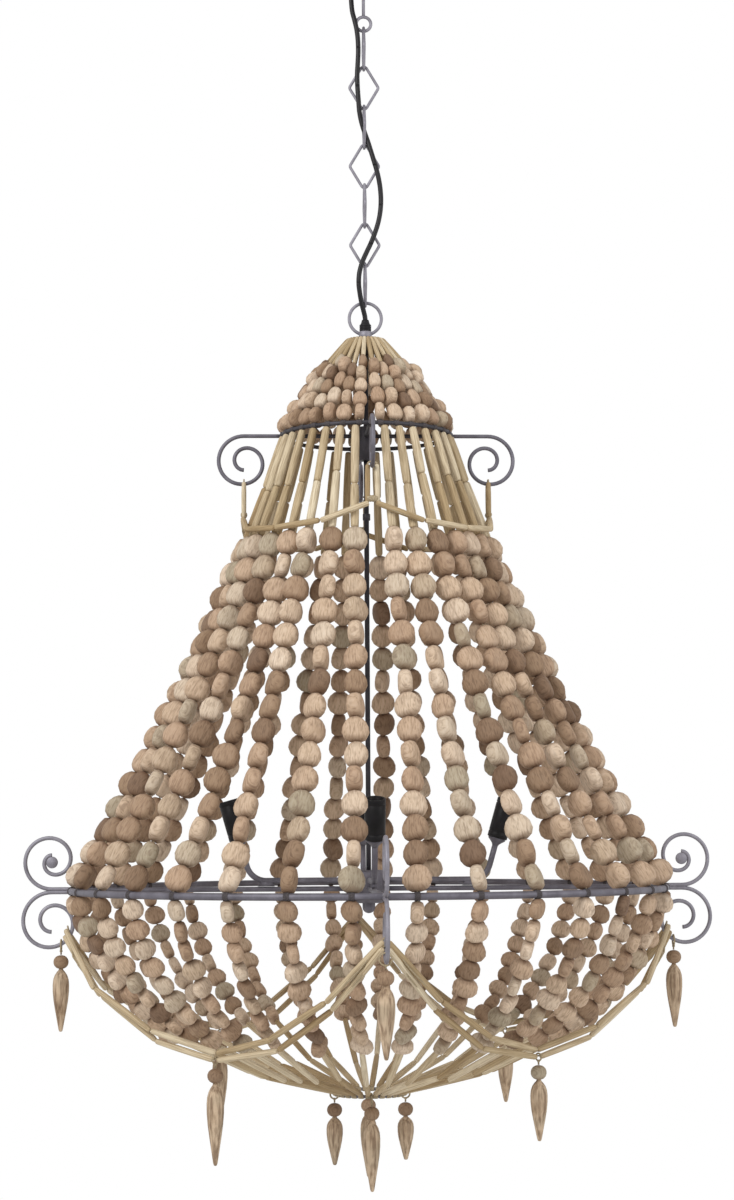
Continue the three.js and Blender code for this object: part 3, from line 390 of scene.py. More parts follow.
canopy_radius, canopy_depth, canopy_wall, edge_round = 55.0, 28.0, 1.2, 10.0
neck_hole = 4.35
outside, inside = [], []
for k in range(9):
    a = -math.pi / 2 + math.pi / 2 * k / 8
    middle = (canopy_radius - edge_round, -canopy_depth + edge_round)
    outside.append((middle[0] + edge_round * math.cos(a), middle[1] + edge_round * math.sin(a)))
    within = edge_round - canopy_wall
    inside.append((middle[0] + within * math.cos(a), middle[1] + within * math.sin(a)))
cup = [(neck_hole, -canopy_depth), *outside, (canopy_radius, -2), (canopy_radius, 0)]
cup += [(canopy_radius - canopy_wall, 0), *reversed(inside)]
cup += [(neck_hole, -canopy_depth + canopy_wall), (neck_hole, -canopy_depth)]
canopy = shaped("canopy", turned(cup, 72))
fitted(canopy, grey_lacquer, "ceiling_fitting", "steel", "canopy")

grommet = [(3.1, -29.2), (5.6, -29.2), (6.0, -28.6), (6.0, -28.05), (3.1, -28.05)]
cord_hole = (cord_points[0][0], 0, 0)
bush = shaped("cord_bush", moved(turned([*grommet, grommet[0]], 32), shift=cord_hole))
fitted(bush, pvc_sheath, "ceiling_fitting", "black_plastic")


def circle(radius, steps, across=(1, 0, 0), up=(0, 0, 1), middle=(0, 0, 0)):
    """Points of a circle in the plane of two directions."""
    across, up, middle = Vector(across), Vector(up), Vector(middle)
    turns = [2 * math.pi * k / steps for k in range(steps)]
    return [middle + across * (radius * math.cos(a)) + up * (radius * math.sin(a)) for a in turns]


loop_middle, loop_wire = -78.0, 4.0
stem = [(0, -12.8), (3.2, -12.8), (4, -13.6), (4, -28.3), (8.2, -28.3), (9, -29.0), (9, -35.4)]
stem += [(8.2, -36.3), (3.4, -37), (2.2, -40), (2.0, -48), (2.0, -69), (0, -69)]
eye = wire(circle(9, 40, middle=(0, 0, loop_middle)), loop_wire / 2, 14, endless=True)
canopy_loop = shaped("canopy_loop", turned(stem, 32), eye)
fitted(canopy_loop, painted_light_lacquer, "ceiling_fitting", "steel", "canopy_loop")


# Terminal block: moulded black polyamide with two brass-cored screw ways, held under the
# bar. The house wires and the cord's wires are clamped in it.

# Moulded polyamide is near black and half matt, with the fine grain of its mould.
black_plastic, tree = new_material("moulded_black_plastic")
place = node(tree, "ShaderNodeTexCoord").outputs["Object"]
grain = node(tree, "ShaderNodeTexNoise", {"Vector": place, "Scale": 1 / (0.8 * MM), "Detail": 2.0})
haze = node(tree, "ShaderNodeTexNoise", {"Vector": place, "Scale": 1 / (12 * MM), "Detail": 3.0})
shade = node(tree, "ShaderNodeValToRGB", {0: haze}, stops=[(0.35, "#0D0C0E"), (0.7, "#1A181B")])
matt = node(tree, "ShaderNodeMapRange", {0: haze, 3: 0.38, 4: 0.55})
surface(tree, shade, matt, grain, 0.2, 0.05, {"Specular IOR Level": 0.25})
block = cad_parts["terminal_block"]
block.data.materials.clear()
block.data.materials.append(black_plastic)


# Chain: diamond links bent from 3.6 mm wire, welded shut, each a quarter turned. The
# bends lie round the wire they hang on, so a link swings without rubbing its neighbour.
link_wire, link_height, link_width = 3.6, 56.8, 38.4
link_run = link_height - link_wire
bend = (loop_wire + link_wire) / 2 + 0.3
side_reach = (link_width - link_wire) / 2 - bend
end_reach = link_run / 2 - bend
limb = math.atan2(side_reach, end_reach)
diamond = []
for x, z, middle, span in (
    (side_reach, 0, 0, limb), (0, end_reach, math.pi / 2, math.pi / 2 - limb),
    (-side_reach, 0, math.pi, limb), (0, -end_reach, 1.5 * math.pi, math.pi / 2 - limb),
):
    corner = [middle - span + 2 * span * k / 8 for k in range(9)]
    diamond += [Vector((x + bend * math.cos(a), 0, z + bend * math.sin(a))) for a in corner]
bent_link = wire(diamond, link_wire / 2, 12, endless=True)
for k, z in enumerate(link_middles):
    quarter = (k + 1) % 2 * math.pi / 2
    link = shaped(f"link_{k + 1}", moved(bent_link, shift=(0, 0, z), turn=quarter))
    fitted(link, painted_light_lacquer, f"link_{k + 1}", "steel", f"chain_link_{k + 1}")


# Hanging loop: a ring of 4 mm wire, bent and welded to a turned boss that is screwed on
# the centre rod. The chain's last link hangs in it and the cord passes through it.
ring_middle, boss_top, boss_foot = -447.4, -463.2, -472.2
boss = [(0, boss_top), (7.2, boss_top), (8, boss_top - 0.8), (8, boss_foot + 0.8)]
boss += [(7.2, boss_foot), (0, boss_foot)]
ring_line = circle(19.6, 56, middle=(0, 0, ring_middle))
hanging_ring = wire(ring_line, loop_wire / 2, 14, endless=True)
hanging_loop = shaped("hanging_loop", hanging_ring, turned(boss, 32))
fitted(hanging_loop, painted_light_lacquer, "lamp", "steel", "hanging_loop")


# Cord grip: a black moulded bush on the boss, with a ribbed foot for the fingers and a soft
# tapered neck that keeps the cord from being bent sharply.
grip_foot = boss_top + 0.3
grip = [(0, 0), (6.8, 0), (7.2, 0.5)]
for k in range(3):
    grip += [(7.2, 1.4 + 2 * k), (6.7, 1.7 + 2 * k), (6.7, 2.1 + 2 * k), (7.2, 2.4 + 2 * k)]
grip += [(7.2, 7.6), (5.6, 9.2), (4.7, 12), (4.3, 13.9), (0, 14)]
cord_grip = shaped("cord_grip", moved(turned(grip, 36), shift=(0, 0, grip_foot)))
fitted(cord_grip, black_plastic, "lamp", "black_plastic", "cord_grip")


# Crown cap, centre rod and hubs: a punched disc, two lengths of drawn rod with a collar
# where they screw together, a sleeve and a turned block with its cap nut.
cap_top, cap_foot = -472.5, -475.5
disc = [(3.35, cap_foot), (19.4, cap_foot), (20, cap_foot + 0.6), (20, cap_top - 0.6)]
disc += [(19.4, cap_top), (3.35, cap_top)]
crown_cap = shaped("crown_cap", turned([*disc, disc[0]], 56))
fitted(crown_cap, grey_lacquer, "lamp", "steel", "crown_cap")

upper_ring, lower_ring, bottom_ring = -592.0, -1137.0, -1377.0
sleeve_top, sleeve_foot = upper_ring + 11, upper_ring - 30
collar_top = sleeve_foot - 65
hub_top, bore_depth = lower_ring + 22, 16
rod_foot = hub_top - bore_depth + 0.3
rod = [(0, cap_top - 0.3), (2.4, cap_top - 0.3), (3, cap_top - 0.9), (3, collar_top)]
rod += [(4.1, collar_top), (4.6, collar_top - 0.5), (4.6, collar_top - 7.5), (4.1, collar_top - 8)]
rod += [(3, collar_top - 8), (3, rod_foot + 0.6), (2.4, rod_foot), (0, rod_foot)]
centre_rod = shaped("centre_rod", turned(rod, 24))
fitted(centre_rod, painted_shade_lacquer, "lamp", "steel", "centre_rod")

sleeve = [(3.3, sleeve_foot), (9.4, sleeve_foot), (10.2, sleeve_foot + 0.8)]
sleeve += [(10.2, sleeve_top - 0.8), (9.4, sleeve_top), (3.3, sleeve_top)]
upper_hub = shaped("upper_hub", turned([*sleeve, sleeve[0]], 40))
fitted(upper_hub, painted_shade_lacquer, "lamp", "steel", "upper_hub")

hub_foot = lower_ring - 17
hub = [(0, hub_foot), (15.6, hub_foot), (18.2, hub_foot + 1.8), (19, hub_foot + 3.6)]
hub += [(19, lower_ring - 5.4), (18.4, lower_ring - 5), (18.4, lower_ring - 4.4)]
hub += [(19, lower_ring - 4), (19, hub_top - 3.6), (18.2, hub_top - 1.8), (15.6, hub_top)]
hub += [(3.3, hub_top), (3.3, hub_top - bore_depth), (0, hub_top - bore_depth)]
lower_hub = shaped("lower_hub", turned(hub, 48))
fitted(lower_hub, grey_lacquer, "lamp", "steel", "lower_hub")

nut_top = hub_foot - 0.3
dome = [(0, nut_top - 12)]
for a in (0.3, 0.6, 0.9, 1.2, 1.5):
    dome.append((7.6 * math.sin(a), nut_top - 5 - 7 * math.cos(a)))
hub_nut = shaped("hub_nut", turned([*dome, (7.6, nut_top), (0, nut_top)], 6), smooth=False)
fitted(hub_nut, grey_lacquer, "lamp", "steel", "hub_nut")


# Frames: a ring of round bar, four spokes and wire scrolls, bent cold and welded at every
# joint. The small one has one falling scroll on each side, the large one a pair. The little
# ring at the foot is plain.
scroll_wire = 4.8
scroll_turns = 1.5


def scroll(stem_start, reach, outer, inner, height, rise):
    """The wire of one scroll, from its stem on the ring to the end of its curl. reach is how
    far out the curl's middle is, outer and inner are its bends, rise is 1 up or -1 down."""
    line = [Vector((stem_start + (reach - stem_start) * k / 6, 0, height)) for k in range(6)]
    for k in range(73):
        turns = scroll_turns * k / 72
        run = min(max((turns - 0.25) / 1.1, 0), 1)
        bend = inner + (outer - inner) * (1 + math.cos(math.pi * run)) / 2
        a = 2 * math.pi * turns
        x = reach + bend * math.sin(a)
        line.append(Vector((x, 0, height + rise * (outer - bend * math.cos(a)))))
    return wire(line, scroll_wire / 2, 12)


def ring_bar(radius, bar, height):
    """A level ring of round bar."""
    return wire(circle(radius, 96, up=(0, 1, 0), middle=(0, 0, height)), bar / 2, 14, endless=True)


def spoke(start, end, bar, height):
    """A level length of round bar, out along +X."""
    return wire([Vector((start + (end - start) * k / 4, 0, height)) for k in range(5)], bar / 2, 14)


def weld(place, size):
    """A low lump of weld metal."""
    lump = [(size * math.sin(a), -size * math.cos(a)) for a in (0.5, 1.0, 1.57, 2.1, 2.6)]
    return moved(turned([(0, -size), *lump, (0, size)], 12), shift=place)


upper_radius, lower_radius, bottom_radius = 102.0, 352.0, 42.0
upper_scroll = (148.0, 30.5, 11.0, upper_ring, -1)
pair_gap = scroll_wire * 0.38
rising_scroll = (376.0, 31.5, 8.5, lower_ring + pair_gap, 1)
falling_scroll = (376.0, 33.5, 13.0, lower_ring - pair_gap, -1)
eye_outline = [(0, -1.5), (6.4, -1.5), (7, -1), (7, 1), (6.4, 1.5), (0, 1.5)]
eye_points, eye_faces = turned(eye_outline, 28)
eye_disc = [Vector((p.x, p.z, p.y)) for p in eye_points], eye_faces
eye_place = (rising_scroll[0], 0, rising_scroll[3] + rising_scroll[1])
for level, radius, bar, height, hub_side, spoke_bar, weld_size, curls, paint, curl_paint in (
    (
        "upper", upper_radius, 5, upper_ring, 10.5, 5, 3.4, [upper_scroll],
        painted_shade_lacquer, grey_lacquer,
    ),
    (
        "lower", lower_radius, 8, lower_ring, 19.3, 6, 5.0, [rising_scroll, falling_scroll],
        grey_lacquer, painted_light_lacquer,
    ),
):
    straight = [spoke(hub_side, radius, spoke_bar, height), weld((radius, 0, height), weld_size)]
    curled = [scroll(radius, *curl) for curl in curls]
    if level == "lower":
        curled.append(moved(eye_disc, shift=eye_place))
    bars, wires = [ring_bar(radius, bar, height)], []
    for side in range(4):
        bars += [moved(part, turn=side * math.pi / 2) for part in straight]
        wires += [moved(part, turn=side * math.pi / 2) for part in curled]
    fitted(shaped(f"{level}_frame", *bars), paint, "lamp", "steel", f"{level}_frame")
    fitted(shaped(f"{level}_scrolls", *wires), curl_paint, "lamp", "steel")

little_ring = shaped("bottom_ring", ring_bar(bottom_radius, 4, bottom_ring))
fitted(little_ring, grey_lacquer, "lamp", "steel", "bottom_ring")


# Lamp arms and holders: steel tube bent up and leaned out, with a welded foot on the
# spoke and a pressed cup, and in it a black moulded candle holder for a small bulb.
arm_lean = math.radians(16)
arm_height = lower_ring + 10
bend_start, bend_radius = 122.0, 24.0
sweep = math.pi / 2 - arm_lean
hub_side = 19.3
line = [Vector((hub_side + (bend_start - hub_side) * k / 5, 0, arm_height)) for k in range(5)]
for k in range(13):
    a = sweep * k / 12
    rise = bend_radius * (1 - math.cos(a))
    line.append(Vector((bend_start + bend_radius * math.sin(a), 0, arm_height + rise)))
arm_end = line[-1] + Vector((math.sin(arm_lean), 0, math.cos(arm_lean))) * 28
line += [(line[-1] + arm_end) / 2, arm_end]
tube = wire(line, 3.5, 16)
foot_low, foot_high = lower_ring + 3.3, arm_height
foot_outline = [(bend_start - 10, foot_low), (bend_start + 10, foot_low)]
foot_outline += [(bend_start + 6, foot_high), (bend_start - 6, foot_high)]
foot_faces = [(0, 1, 2, 3), (7, 6, 5, 4), (0, 4, 5, 1), (1, 5, 6, 2), (2, 6, 7, 3), (3, 7, 4, 0)]
foot = [Vector((x, y, z)) for y in (-3, 3) for x, z in foot_outline], foot_faces
pan = [(0, -4.5), (3.6, -4.5), (4.4, -2.4), (7.4, 0.6), (9.9, 2.6), (10.5, 3.6), (10.5, 4.5)]
pan += [(9.6, 4.5), (9.2, 3.8), (0, 3.4)]
cup = moved(turned(pan, 32), shift=arm_end, lean=arm_lean)
candle = [(0, 4.8), (11.2, 4.8), (12, 5.6), (12, 12), (11.5, 12.3), (11.5, 12.9), (12, 13.2)]
candle += [(12, 46), (11.5, 46.4), (11.5, 47), (12, 47.4), (12, 52.2), (11.6, 52.8), (10.0, 52.8)]
candle += [(9.6, 52.3), (9.6, 12.2), (9.2, 11.8), (4.2, 11.8), (4.0, 12.0), (4.0, 12.8)]
candle += [(3.7, 13.0), (0, 13.0)]
socket = moved(turned(candle, 40), shift=arm_end, lean=arm_lean)
sides = ["right", "back", "left", "front"]
for k, side in enumerate(sides):
    turn = k * math.pi / 2
    arm = shaped(f"lamp_arm_{side}", *[moved(part, turn=turn) for part in (tube, foot, cup)])
    fitted(arm, grey_lacquer, "lamp", "steel", f"lamp_arm_{side}")
    holder = shaped(f"lamp_holder_{side}", moved(socket, turn=turn))
    fitted(holder, black_plastic, "lamp", "black_plastic", f"lamp_holder_{side}")


# Bead strings: worn flat beads and slim sticks of turned softwood, bored through and
# threaded on waxed cotton, which is wound and knotted round the rings with dark thread.
# The beads are never alike: each has its own tone, grain and twist on its thread.

# Worn softwood: each bead has its own tone, from straw over tan to grey-brown, with dark growth lines across
# its flat sides and a dull surface. Round its bore it turns brown: painted shade where it meets the next
# bead, and grime where it rubs on it. Growth lines under 1 mm are drawn wider.
def threaded_wood(name, spread, stretch, lines, tones, growth):
    """A wood whose tone and grain differ from piece to piece. lines are the settings of its
    growth lines. Gives the material, its tree, the grain's place, its lines and the colour."""
    material, tree = new_material(name)
    tone = node(tree, "ShaderNodeAttribute", attribute_name="tone").outputs["Fac"]
    local = node(tree, "ShaderNodeAttribute", attribute_name="grain").outputs["Vector"]
    offset = node(tree, "ShaderNodeMath", {0: tone, 1: spread}, operation="MULTIPLY")
    apart = node(tree, "ShaderNodeCombineXYZ", {0: offset, 1: offset, 2: offset})
    own = node(tree, "ShaderNodeVectorMath", {0: local, 1: apart}, operation="ADD")
    stretched = node(tree, "ShaderNodeMapping", {"Vector": own, "Scale": stretch})
    lines = node(tree, "ShaderNodeTexNoise", {"Vector": stretched, "Detail": 5.0, **lines})
    base = node(tree, "ShaderNodeValToRGB", {0: tone}, stops=tones)
    depth = node(tree, "ShaderNodeValToRGB", {0: lines}, stops=growth)
    grained = node(
        tree, "ShaderNodeMix", {0: 0.6, 6: base, 7: depth}, data_type="RGBA", blend_type="MULTIPLY"
    ).outputs[2]
    return material, tree, (local, own), lines, grained


tones = [(0.0, "#7E6551"), (0.12, "#9E846B"), (0.32, "#BDA188"), (0.55, "#D1B9A0")]
tones += [(0.78, "#E0CDB8"), (0.9, "#B0A48E"), (1.0, "#CFB69D")]
growth = [(0.34, "#A08E7E"), (0.5, "#EDE6DC"), (0.66, "#FFFFFF")]
bead_wood, tree, (local, own), lines, grained = threaded_wood(
    "turned_softwood_unvarnished", 97.0, (1.2, 5.5, 0.8), {"Scale": 1.5, "Distortion": 0.6},
    tones, growth,
)
stains = node(tree, "ShaderNodeTexNoise", {"Vector": own, "Scale": 1.3, "Detail": 3.0})
dirt = node(tree, "ShaderNodeMapRange", {0: stains, 1: 0.55, 2: 0.75, 3: 0.0, 4: 0.35})
# Painted shade: brown towards both ends of the bore, where one bead meets the next, standing also for grime
# there.
along = node(tree, "ShaderNodeSeparateXYZ", {0: local})
from_middle = node(tree, "ShaderNodeMath", {0: along}, operation="ABSOLUTE")
grime_and_painted_shade = node(tree, "ShaderNodeMapRange", {0: from_middle, 1: 0.6, 2: 1.0, 3: 0.0, 4: 0.7})
for share, brown in ((dirt, "#86705C"), (grime_and_painted_shade, "#6B4E38")):
    grained = node(
        tree, "ShaderNodeMix", {0: share, 6: grained, 7: colour(brown)}, data_type="RGBA"
    ).outputs[2]
rough = node(tree, "ShaderNodeMapRange", {0: lines, 3: 0.72, 4: 0.88})
surface(tree, grained, rough, lines, 0.35, 0.3)

# The sticks and garlands are paler, straw-coloured wood with the grain along them.
tones = [(0.0, "#A88F68"), (0.3, "#BDA884"), (0.6, "#CFBC9B"), (1.0, "#E2D4B8")]
stick_wood, tree, _, fibres, grained = threaded_wood(
    "whittled_straw_wood", 61.0, (2.4, 2.4, 0.9), {"Scale": 1.6},
    tones, [(0.34, "#A08C6E"), (0.6, "#FFFFFF")],
)
rough = node(tree, "ShaderNodeMapRange", {0: fibres, 3: 0.66, 4: 0.82})
surface(tree, grained, rough, fibres, 0.3, 0.2)

# Waxed cotton is twisted of fine yarns that catch no light of their own. The winding on
# the rings is the same thread, dyed grey.
cottons = []
for name, low, high in (
    ("waxed_cotton_thread", "#8F7F66", "#B5A587"), ("dyed_cotton_winding", "#3A3536", "#565052"),
):
    cotton, tree = new_material(name)
    place = node(tree, "ShaderNodeTexCoord").outputs["Object"]
    yarns = node(
        tree, "ShaderNodeTexNoise", {"Vector": place, "Scale": 1 / (1.1 * MM), "Detail": 3.0}
    )
    shade = node(tree, "ShaderNodeValToRGB", {0: yarns}, stops=[(0.35, low), (0.65, high)])
    surface(tree, shade, 0.9, yarns, 0.5, 0.2)
    cottons.append(cotton)
cotton_thread, dark_winding = cottons


def threaded_shape(name, ends, sides, seed, roughness):
    """A threaded piece of unit size, bored along Z, with its own coordinates for the grain.
    ends are points of share of the width and place along the thread."""
    chance = random.Random(seed)
    swing = [chance.uniform(-1, 1) * roughness for _ in range(4)]
    points, faces = turned(ends, sides)
    for p in points:
        a = math.atan2(p.y, p.x)
        swell = 1 + swing[0] * math.cos(2 * a + swing[1] * 9)
        swell += swing[2] * math.cos(3 * a + swing[3] * 9)
        p.x *= swell
        p.y *= swell
    made = shaped(name, ([Vector(p) / MM for p in points], faces))
    outward(made)
    local = made.data.attributes.new("grain", "FLOAT_VECTOR", "POINT")
    for vertex, value in zip(made.data.vertices, local.data):
        value.vector = vertex.co
    bpy.context.collection.objects.unlink(made)
    threaded_shapes.objects.link(made)
    return made


threaded_shapes = bpy.data.collections.new("threaded_shapes")
coin = [(0, -1), (0.55, -1), (0.86, -0.8), (1, -0.34), (1, 0.34), (0.86, 0.8), (0.55, 1), (0, 1)]
for number in range(3):
    bead = threaded_shape(f"shape_{number}_bead", coin, 14, 11 + number, 0.05)
    bead.data.transform(Matrix.Rotation(math.pi / 2, 4, "Y"))
rounded = [(0, -1), (0.45, -1), (0.72, -0.985), (0.9, -0.93), (1, -0.4), (1, 0.35)]
rounded += [(0.91, 0.92), (0.7, 0.985), (0.45, 1), (0, 1)]
threaded_shape("shape_3_stick", rounded, 10, 21, 0.04)
wound_thread = [(0, -1), (1, -1), (1.16, -0.8), (1.04, -0.6), (1.2, -0.36), (1.06, -0.14)]
wound_thread += [(1.22, 0.1), (1.06, 0.34), (1.18, 0.6), (1, 1), (0, 1)]
threaded_shape("shape_4_wrap", wound_thread, 12, 31, 0.0)

# What a point of the mesh carries: the way its thread runs, the way out, its size in metres,
# its sort (0 bead, 1 stick, 2 winding, -1 thread), its facing and how much it may twist.
carried = [
    ("run", "FLOAT_VECTOR"), ("out", "FLOAT_VECTOR"), ("size", "FLOAT_VECTOR"),
    ("sort", "INT"), ("facing", "FLOAT"), ("play", "FLOAT"),
]
threading = bpy.data.node_groups.new("threaded_pieces", "GeometryNodeTree")
sockets = {}
for label, kind in (
    ("Geometry", "Geometry"), ("Shapes", "Collection"), ("Thread width", "Float"),
    ("Twist", "Float"), ("Wander", "Float"), ("Seed", "Int"), ("Bead wood", "Material"),
    ("Stick wood", "Material"), ("Thread", "Material"), ("Winding", "Material"),
):
    kind = f"NodeSocket{kind}"
    made = threading.interface.new_socket(label, in_out="INPUT", socket_type=kind)
    sockets[label] = made.identifier
threading.interface.new_socket("Geometry", in_out="OUTPUT", socket_type="NodeSocketGeometry")
tree = threading
given = node(tree, "NodeGroupInput").outputs
told = {
    label: node(tree, "GeometryNodeInputNamedAttribute", {"Name": label}, data_type=kind)
    for label, kind in carried
}
less = node(tree, "ShaderNodeMath", {0: 0.0, 1: given["Twist"]}, operation="SUBTRACT")
chance = node(
    tree, "FunctionNodeRandomValue", {2: less, 3: given["Twist"], "Seed": given["Seed"]},
    data_type="FLOAT",
).outputs[1]
twist = node(
    tree, "ShaderNodeMath", {0: told["play"], 1: chance, 2: told["facing"]},
    operation="MULTIPLY_ADD",
)
upright = node(tree, "FunctionNodeAlignRotationToVector", {"Vector": told["run"]}, axis="Z")
faced = node(
    tree, "FunctionNodeAlignRotationToVector", {"Rotation": upright, "Vector": told["out"]},
    axis="X", pivot_axis="Z",
)
spin = node(tree, "FunctionNodeAxisAngleToRotation", {"Axis": (0, 0, 1), "Angle": twist})
placed = node(
    tree, "FunctionNodeRotateRotation", {"Rotation": faced, "Rotate By": spin},
    rotation_space="LOCAL",
)
pick = node(
    tree, "FunctionNodeRandomValue", {4: 0, 5: 2, "Seed": given["Seed"]}, data_type="INT"
).outputs[2]
other = node(tree, "ShaderNodeMath", {0: told["sort"], 1: 2.0}, operation="ADD")
is_bead = node(
    tree, "FunctionNodeCompare", {2: told["sort"], 3: 0}, data_type="INT", operation="EQUAL"
)
shape = node(tree, "GeometryNodeSwitch", {0: is_bead, 1: other, 2: pick}, input_type="INT")
is_piece = node(
    tree, "FunctionNodeCompare", {2: told["sort"], 3: 0},
    data_type="INT", operation="GREATER_EQUAL",
)
back = node(tree, "ShaderNodeMath", {0: 0.0, 1: given["Wander"]}, operation="SUBTRACT")
strays = node(
    tree, "FunctionNodeRandomValue", {0: back, 1: given["Wander"], "Seed": given["Seed"]},
    data_type="FLOAT_VECTOR",
)
strayed = node(
    tree, "GeometryNodeSetPosition",
    {"Geometry": given["Geometry"], "Selection": is_bead, "Offset": strays},
)
shapes = node(tree, "GeometryNodeCollectionInfo", {0: given["Shapes"], 1: True, 2: True})
pieces = node(
    tree, "GeometryNodeInstanceOnPoints",
    {
        "Points": strayed, "Selection": is_piece, "Instance": shapes, "Pick Instance": True,
        "Instance Index": shape, "Rotation": placed, "Scale": told["size"],
    },
)
tone = node(
    tree, "FunctionNodeRandomValue", {2: 0.0, 3: 1.0, "Seed": given["Seed"]}, data_type="FLOAT"
).outputs[1]
pieces = node(
    tree, "GeometryNodeStoreNamedAttribute", {"Geometry": pieces, "Name": "tone", "Value": tone},
    data_type="FLOAT", domain="INSTANCE",
)
thread = node(tree, "GeometryNodeMeshToCurve", {0: given["Geometry"]})
half = node(tree, "ShaderNodeMath", {0: given["Thread width"], 1: 0.5}, operation="MULTIPLY")
section = node(tree, "GeometryNodeCurvePrimitiveCircle", {"Resolution": 6, "Radius": half})
thread = node(
    tree, "GeometryNodeCurveToMesh",
    {"Curve": thread, "Profile Curve": section, "Fill Caps": True},
)
both = node(tree, "GeometryNodeJoinGeometry", {0: [pieces, thread]})
plain = node(tree, "GeometryNodeRealizeInstances", {0: both})
plain = node(
    tree, "GeometryNodeSetMaterial", {"Geometry": plain, "Material": given["Bead wood"]}
)
for label, value in (("Stick wood", 1), ("Winding", 2), ("Thread", -1)):
    chosen = node(
        tree, "FunctionNodeCompare", {2: told["sort"], 3: value},
        data_type="INT", operation="EQUAL",
    )
    plain = node(
        tree, "GeometryNodeSetMaterial",
        {"Geometry": plain, "Selection": chosen, "Material": given[label]},
    )
node(tree, "NodeGroupOutput", {0: plain})


def strung(name, threads, pieces, seed, wound):
    """One mesh of threads and threaded pieces, made by the tree. threads are lines of points;
    a piece is its place and what its point carries. wound is what the windings are made of."""
    mesh = bpy.data.meshes.new(name)
    points, edges = [], []
    for line in threads:
        edges += [(len(points) + k, len(points) + k + 1) for k in range(len(line) - 1)]
        points += line
    start = len(points)
    points += [piece[0] for piece in pieces]
    mesh.from_pydata([tuple(p * MM) for p in points], edges, [])
    for number, (label, kind) in enumerate(carried):
        data = mesh.attributes.new(label, kind, "POINT").data
        for k in range(len(points)):
            if k < start:
                if label == "sort":
                    data[k].value = -1
            elif kind == "FLOAT_VECTOR":
                data[k].vector = pieces[k - start][number + 1]
            else:
                data[k].value = pieces[k - start][number + 1]
    rough = bpy.data.objects.new(f"{name}_threads", mesh)
    bpy.context.collection.objects.link(rough)
    maker = rough.modifiers.new("threaded pieces", "NODES")
    maker.node_group = threading
    for label, value in (
        ("Shapes", threaded_shapes), ("Thread width", 2.0 * MM), ("Twist", 0.95),
        ("Wander", 0.9 * MM), ("Seed", seed), ("Bead wood", bead_wood),
        ("Stick wood", stick_wood), ("Thread", cotton_thread), ("Winding", wound),
    ):
        maker[sockets[label]] = value
    bpy.context.view_layer.update()
    held = rough.evaluated_get(bpy.context.evaluated_depsgraph_get())
    made = bpy.data.objects.new(name, bpy.data.meshes.new_from_object(held))
    made.data.name = name
    bpy.context.collection.objects.link(made)
    bpy.data.objects.remove(rough)
    made.data.shade_smooth()
    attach(made, "lamp")
    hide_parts(name)
    return made


def line_lengths(line):
    """The length of a line up to each of its points."""
    lengths = [0.0]
    for a, b in zip(line, line[1:]):
        lengths.append(lengths[-1] + (b - a).length)
    return lengths


def place_on(line, lengths, distance):
    """The place at a distance along a line, and the way it runs there."""
    k = 0
    while k < len(line) - 2 and lengths[k + 1] < distance:
        k += 1
    share = (distance - lengths[k]) / (lengths[k + 1] - lengths[k])
    return line[k].lerp(line[k + 1], share), (line[k + 1] - line[k]).normalized()


def round_axis(radius, angle, height):
    """The point at a radius, an angle about the lamp's axis and a height."""
    return Vector((radius * math.cos(angle), radius * math.sin(angle), height))


def gathered(angle, share):
    """An angle drawn by a share to the middle of its quarter of the lamp."""
    middle = (angle // (math.pi / 2) + 0.5) * math.pi / 2
    return angle + (middle - angle) * share


# The strings of one tier, and the shares of the usual size that the beads have in turn.
string_count = 32
size_shares = [1, 0.9, 1.04, 0.94, 0.98, 0.87, 1.02]


def bead_string(profile, angle, gather, sticks, beads, sticks_first, sway, seed):
    """The thread and the pieces of one string down a profile of radius and height. sticks
    are count, length and radius; beads are count, radius and half thickness. gather is how
    far it is drawn to the middle of its quarter at its top and its foot, clear of the welded
    scrolls, and sway how far it may hang to one side of its place."""
    chance = random.Random(seed)
    aside = chance.uniform(-sway, sway)
    line = []
    for k, (r, z) in enumerate(profile):
        down = k / (len(profile) - 1)
        drawn = gathered(angle, gather[0] * (1 - down) + gather[1] * down)
        bulge = 1.6 * down * math.sin(math.pi * down)
        line.append(round_axis(r, drawn + aside * bulge / r, z))
    lengths = line_lengths(line)
    pitch = (lengths[-1] - sticks[0] * sticks[1]) / beads[0]
    longer = sticks[1] * (1 + 0.16 * chance.uniform(-1, 1) * (sticks[0] > 1))
    stick_lengths = (longer, 2 * sticks[1] - longer)[: sticks[0]]
    row = [(1, length, sticks[2], sticks[2], 0) for length in stick_lengths]
    bead_row = []
    for k in range(beads[0]):
        share = size_shares[(k + 3 * seed) % 7]
        bead_row.append((0, pitch, beads[1] * share, beads[2] * share, (k + seed) % 3 == 0))
    row = row + bead_row if sticks_first else bead_row + row
    pieces, at = [], 0.0
    for sort, length, wide, thin, edge_on in row:
        place, run = place_on(line, lengths, at + length / 2)
        if sort == 1:
            above = place_on(line, lengths, at + length * 0.04)[0]
            below = place_on(line, lengths, at + length * 0.96)[0]
            place, run = place.lerp((above + below) / 2, 0.8), (below - above).normalized()
        flaring = 1 if run.x * place.x + run.y * place.y > 0 else -1
        out = round_axis(-run.z, angle, math.hypot(run.x, run.y) * flaring)
        round_half = math.pi * math.hypot(place.x, place.y)
        room = (round_half * (1 - gather[0] / 2) - 0.1) / string_count
        half_length = length / 2 - 0.2 if sort == 1 else length / 2 + 0.3
        size, facing = (thin, min(wide, room), half_length), 0.0
        if edge_on:
            size, facing = (min(thin, room), wide, half_length), math.pi / 2
        play = 0.12 if room < wide else 1.0
        pieces.append((place, run, out, Vector(size) * MM, sort, facing, play))
        at += length
    return line, pieces


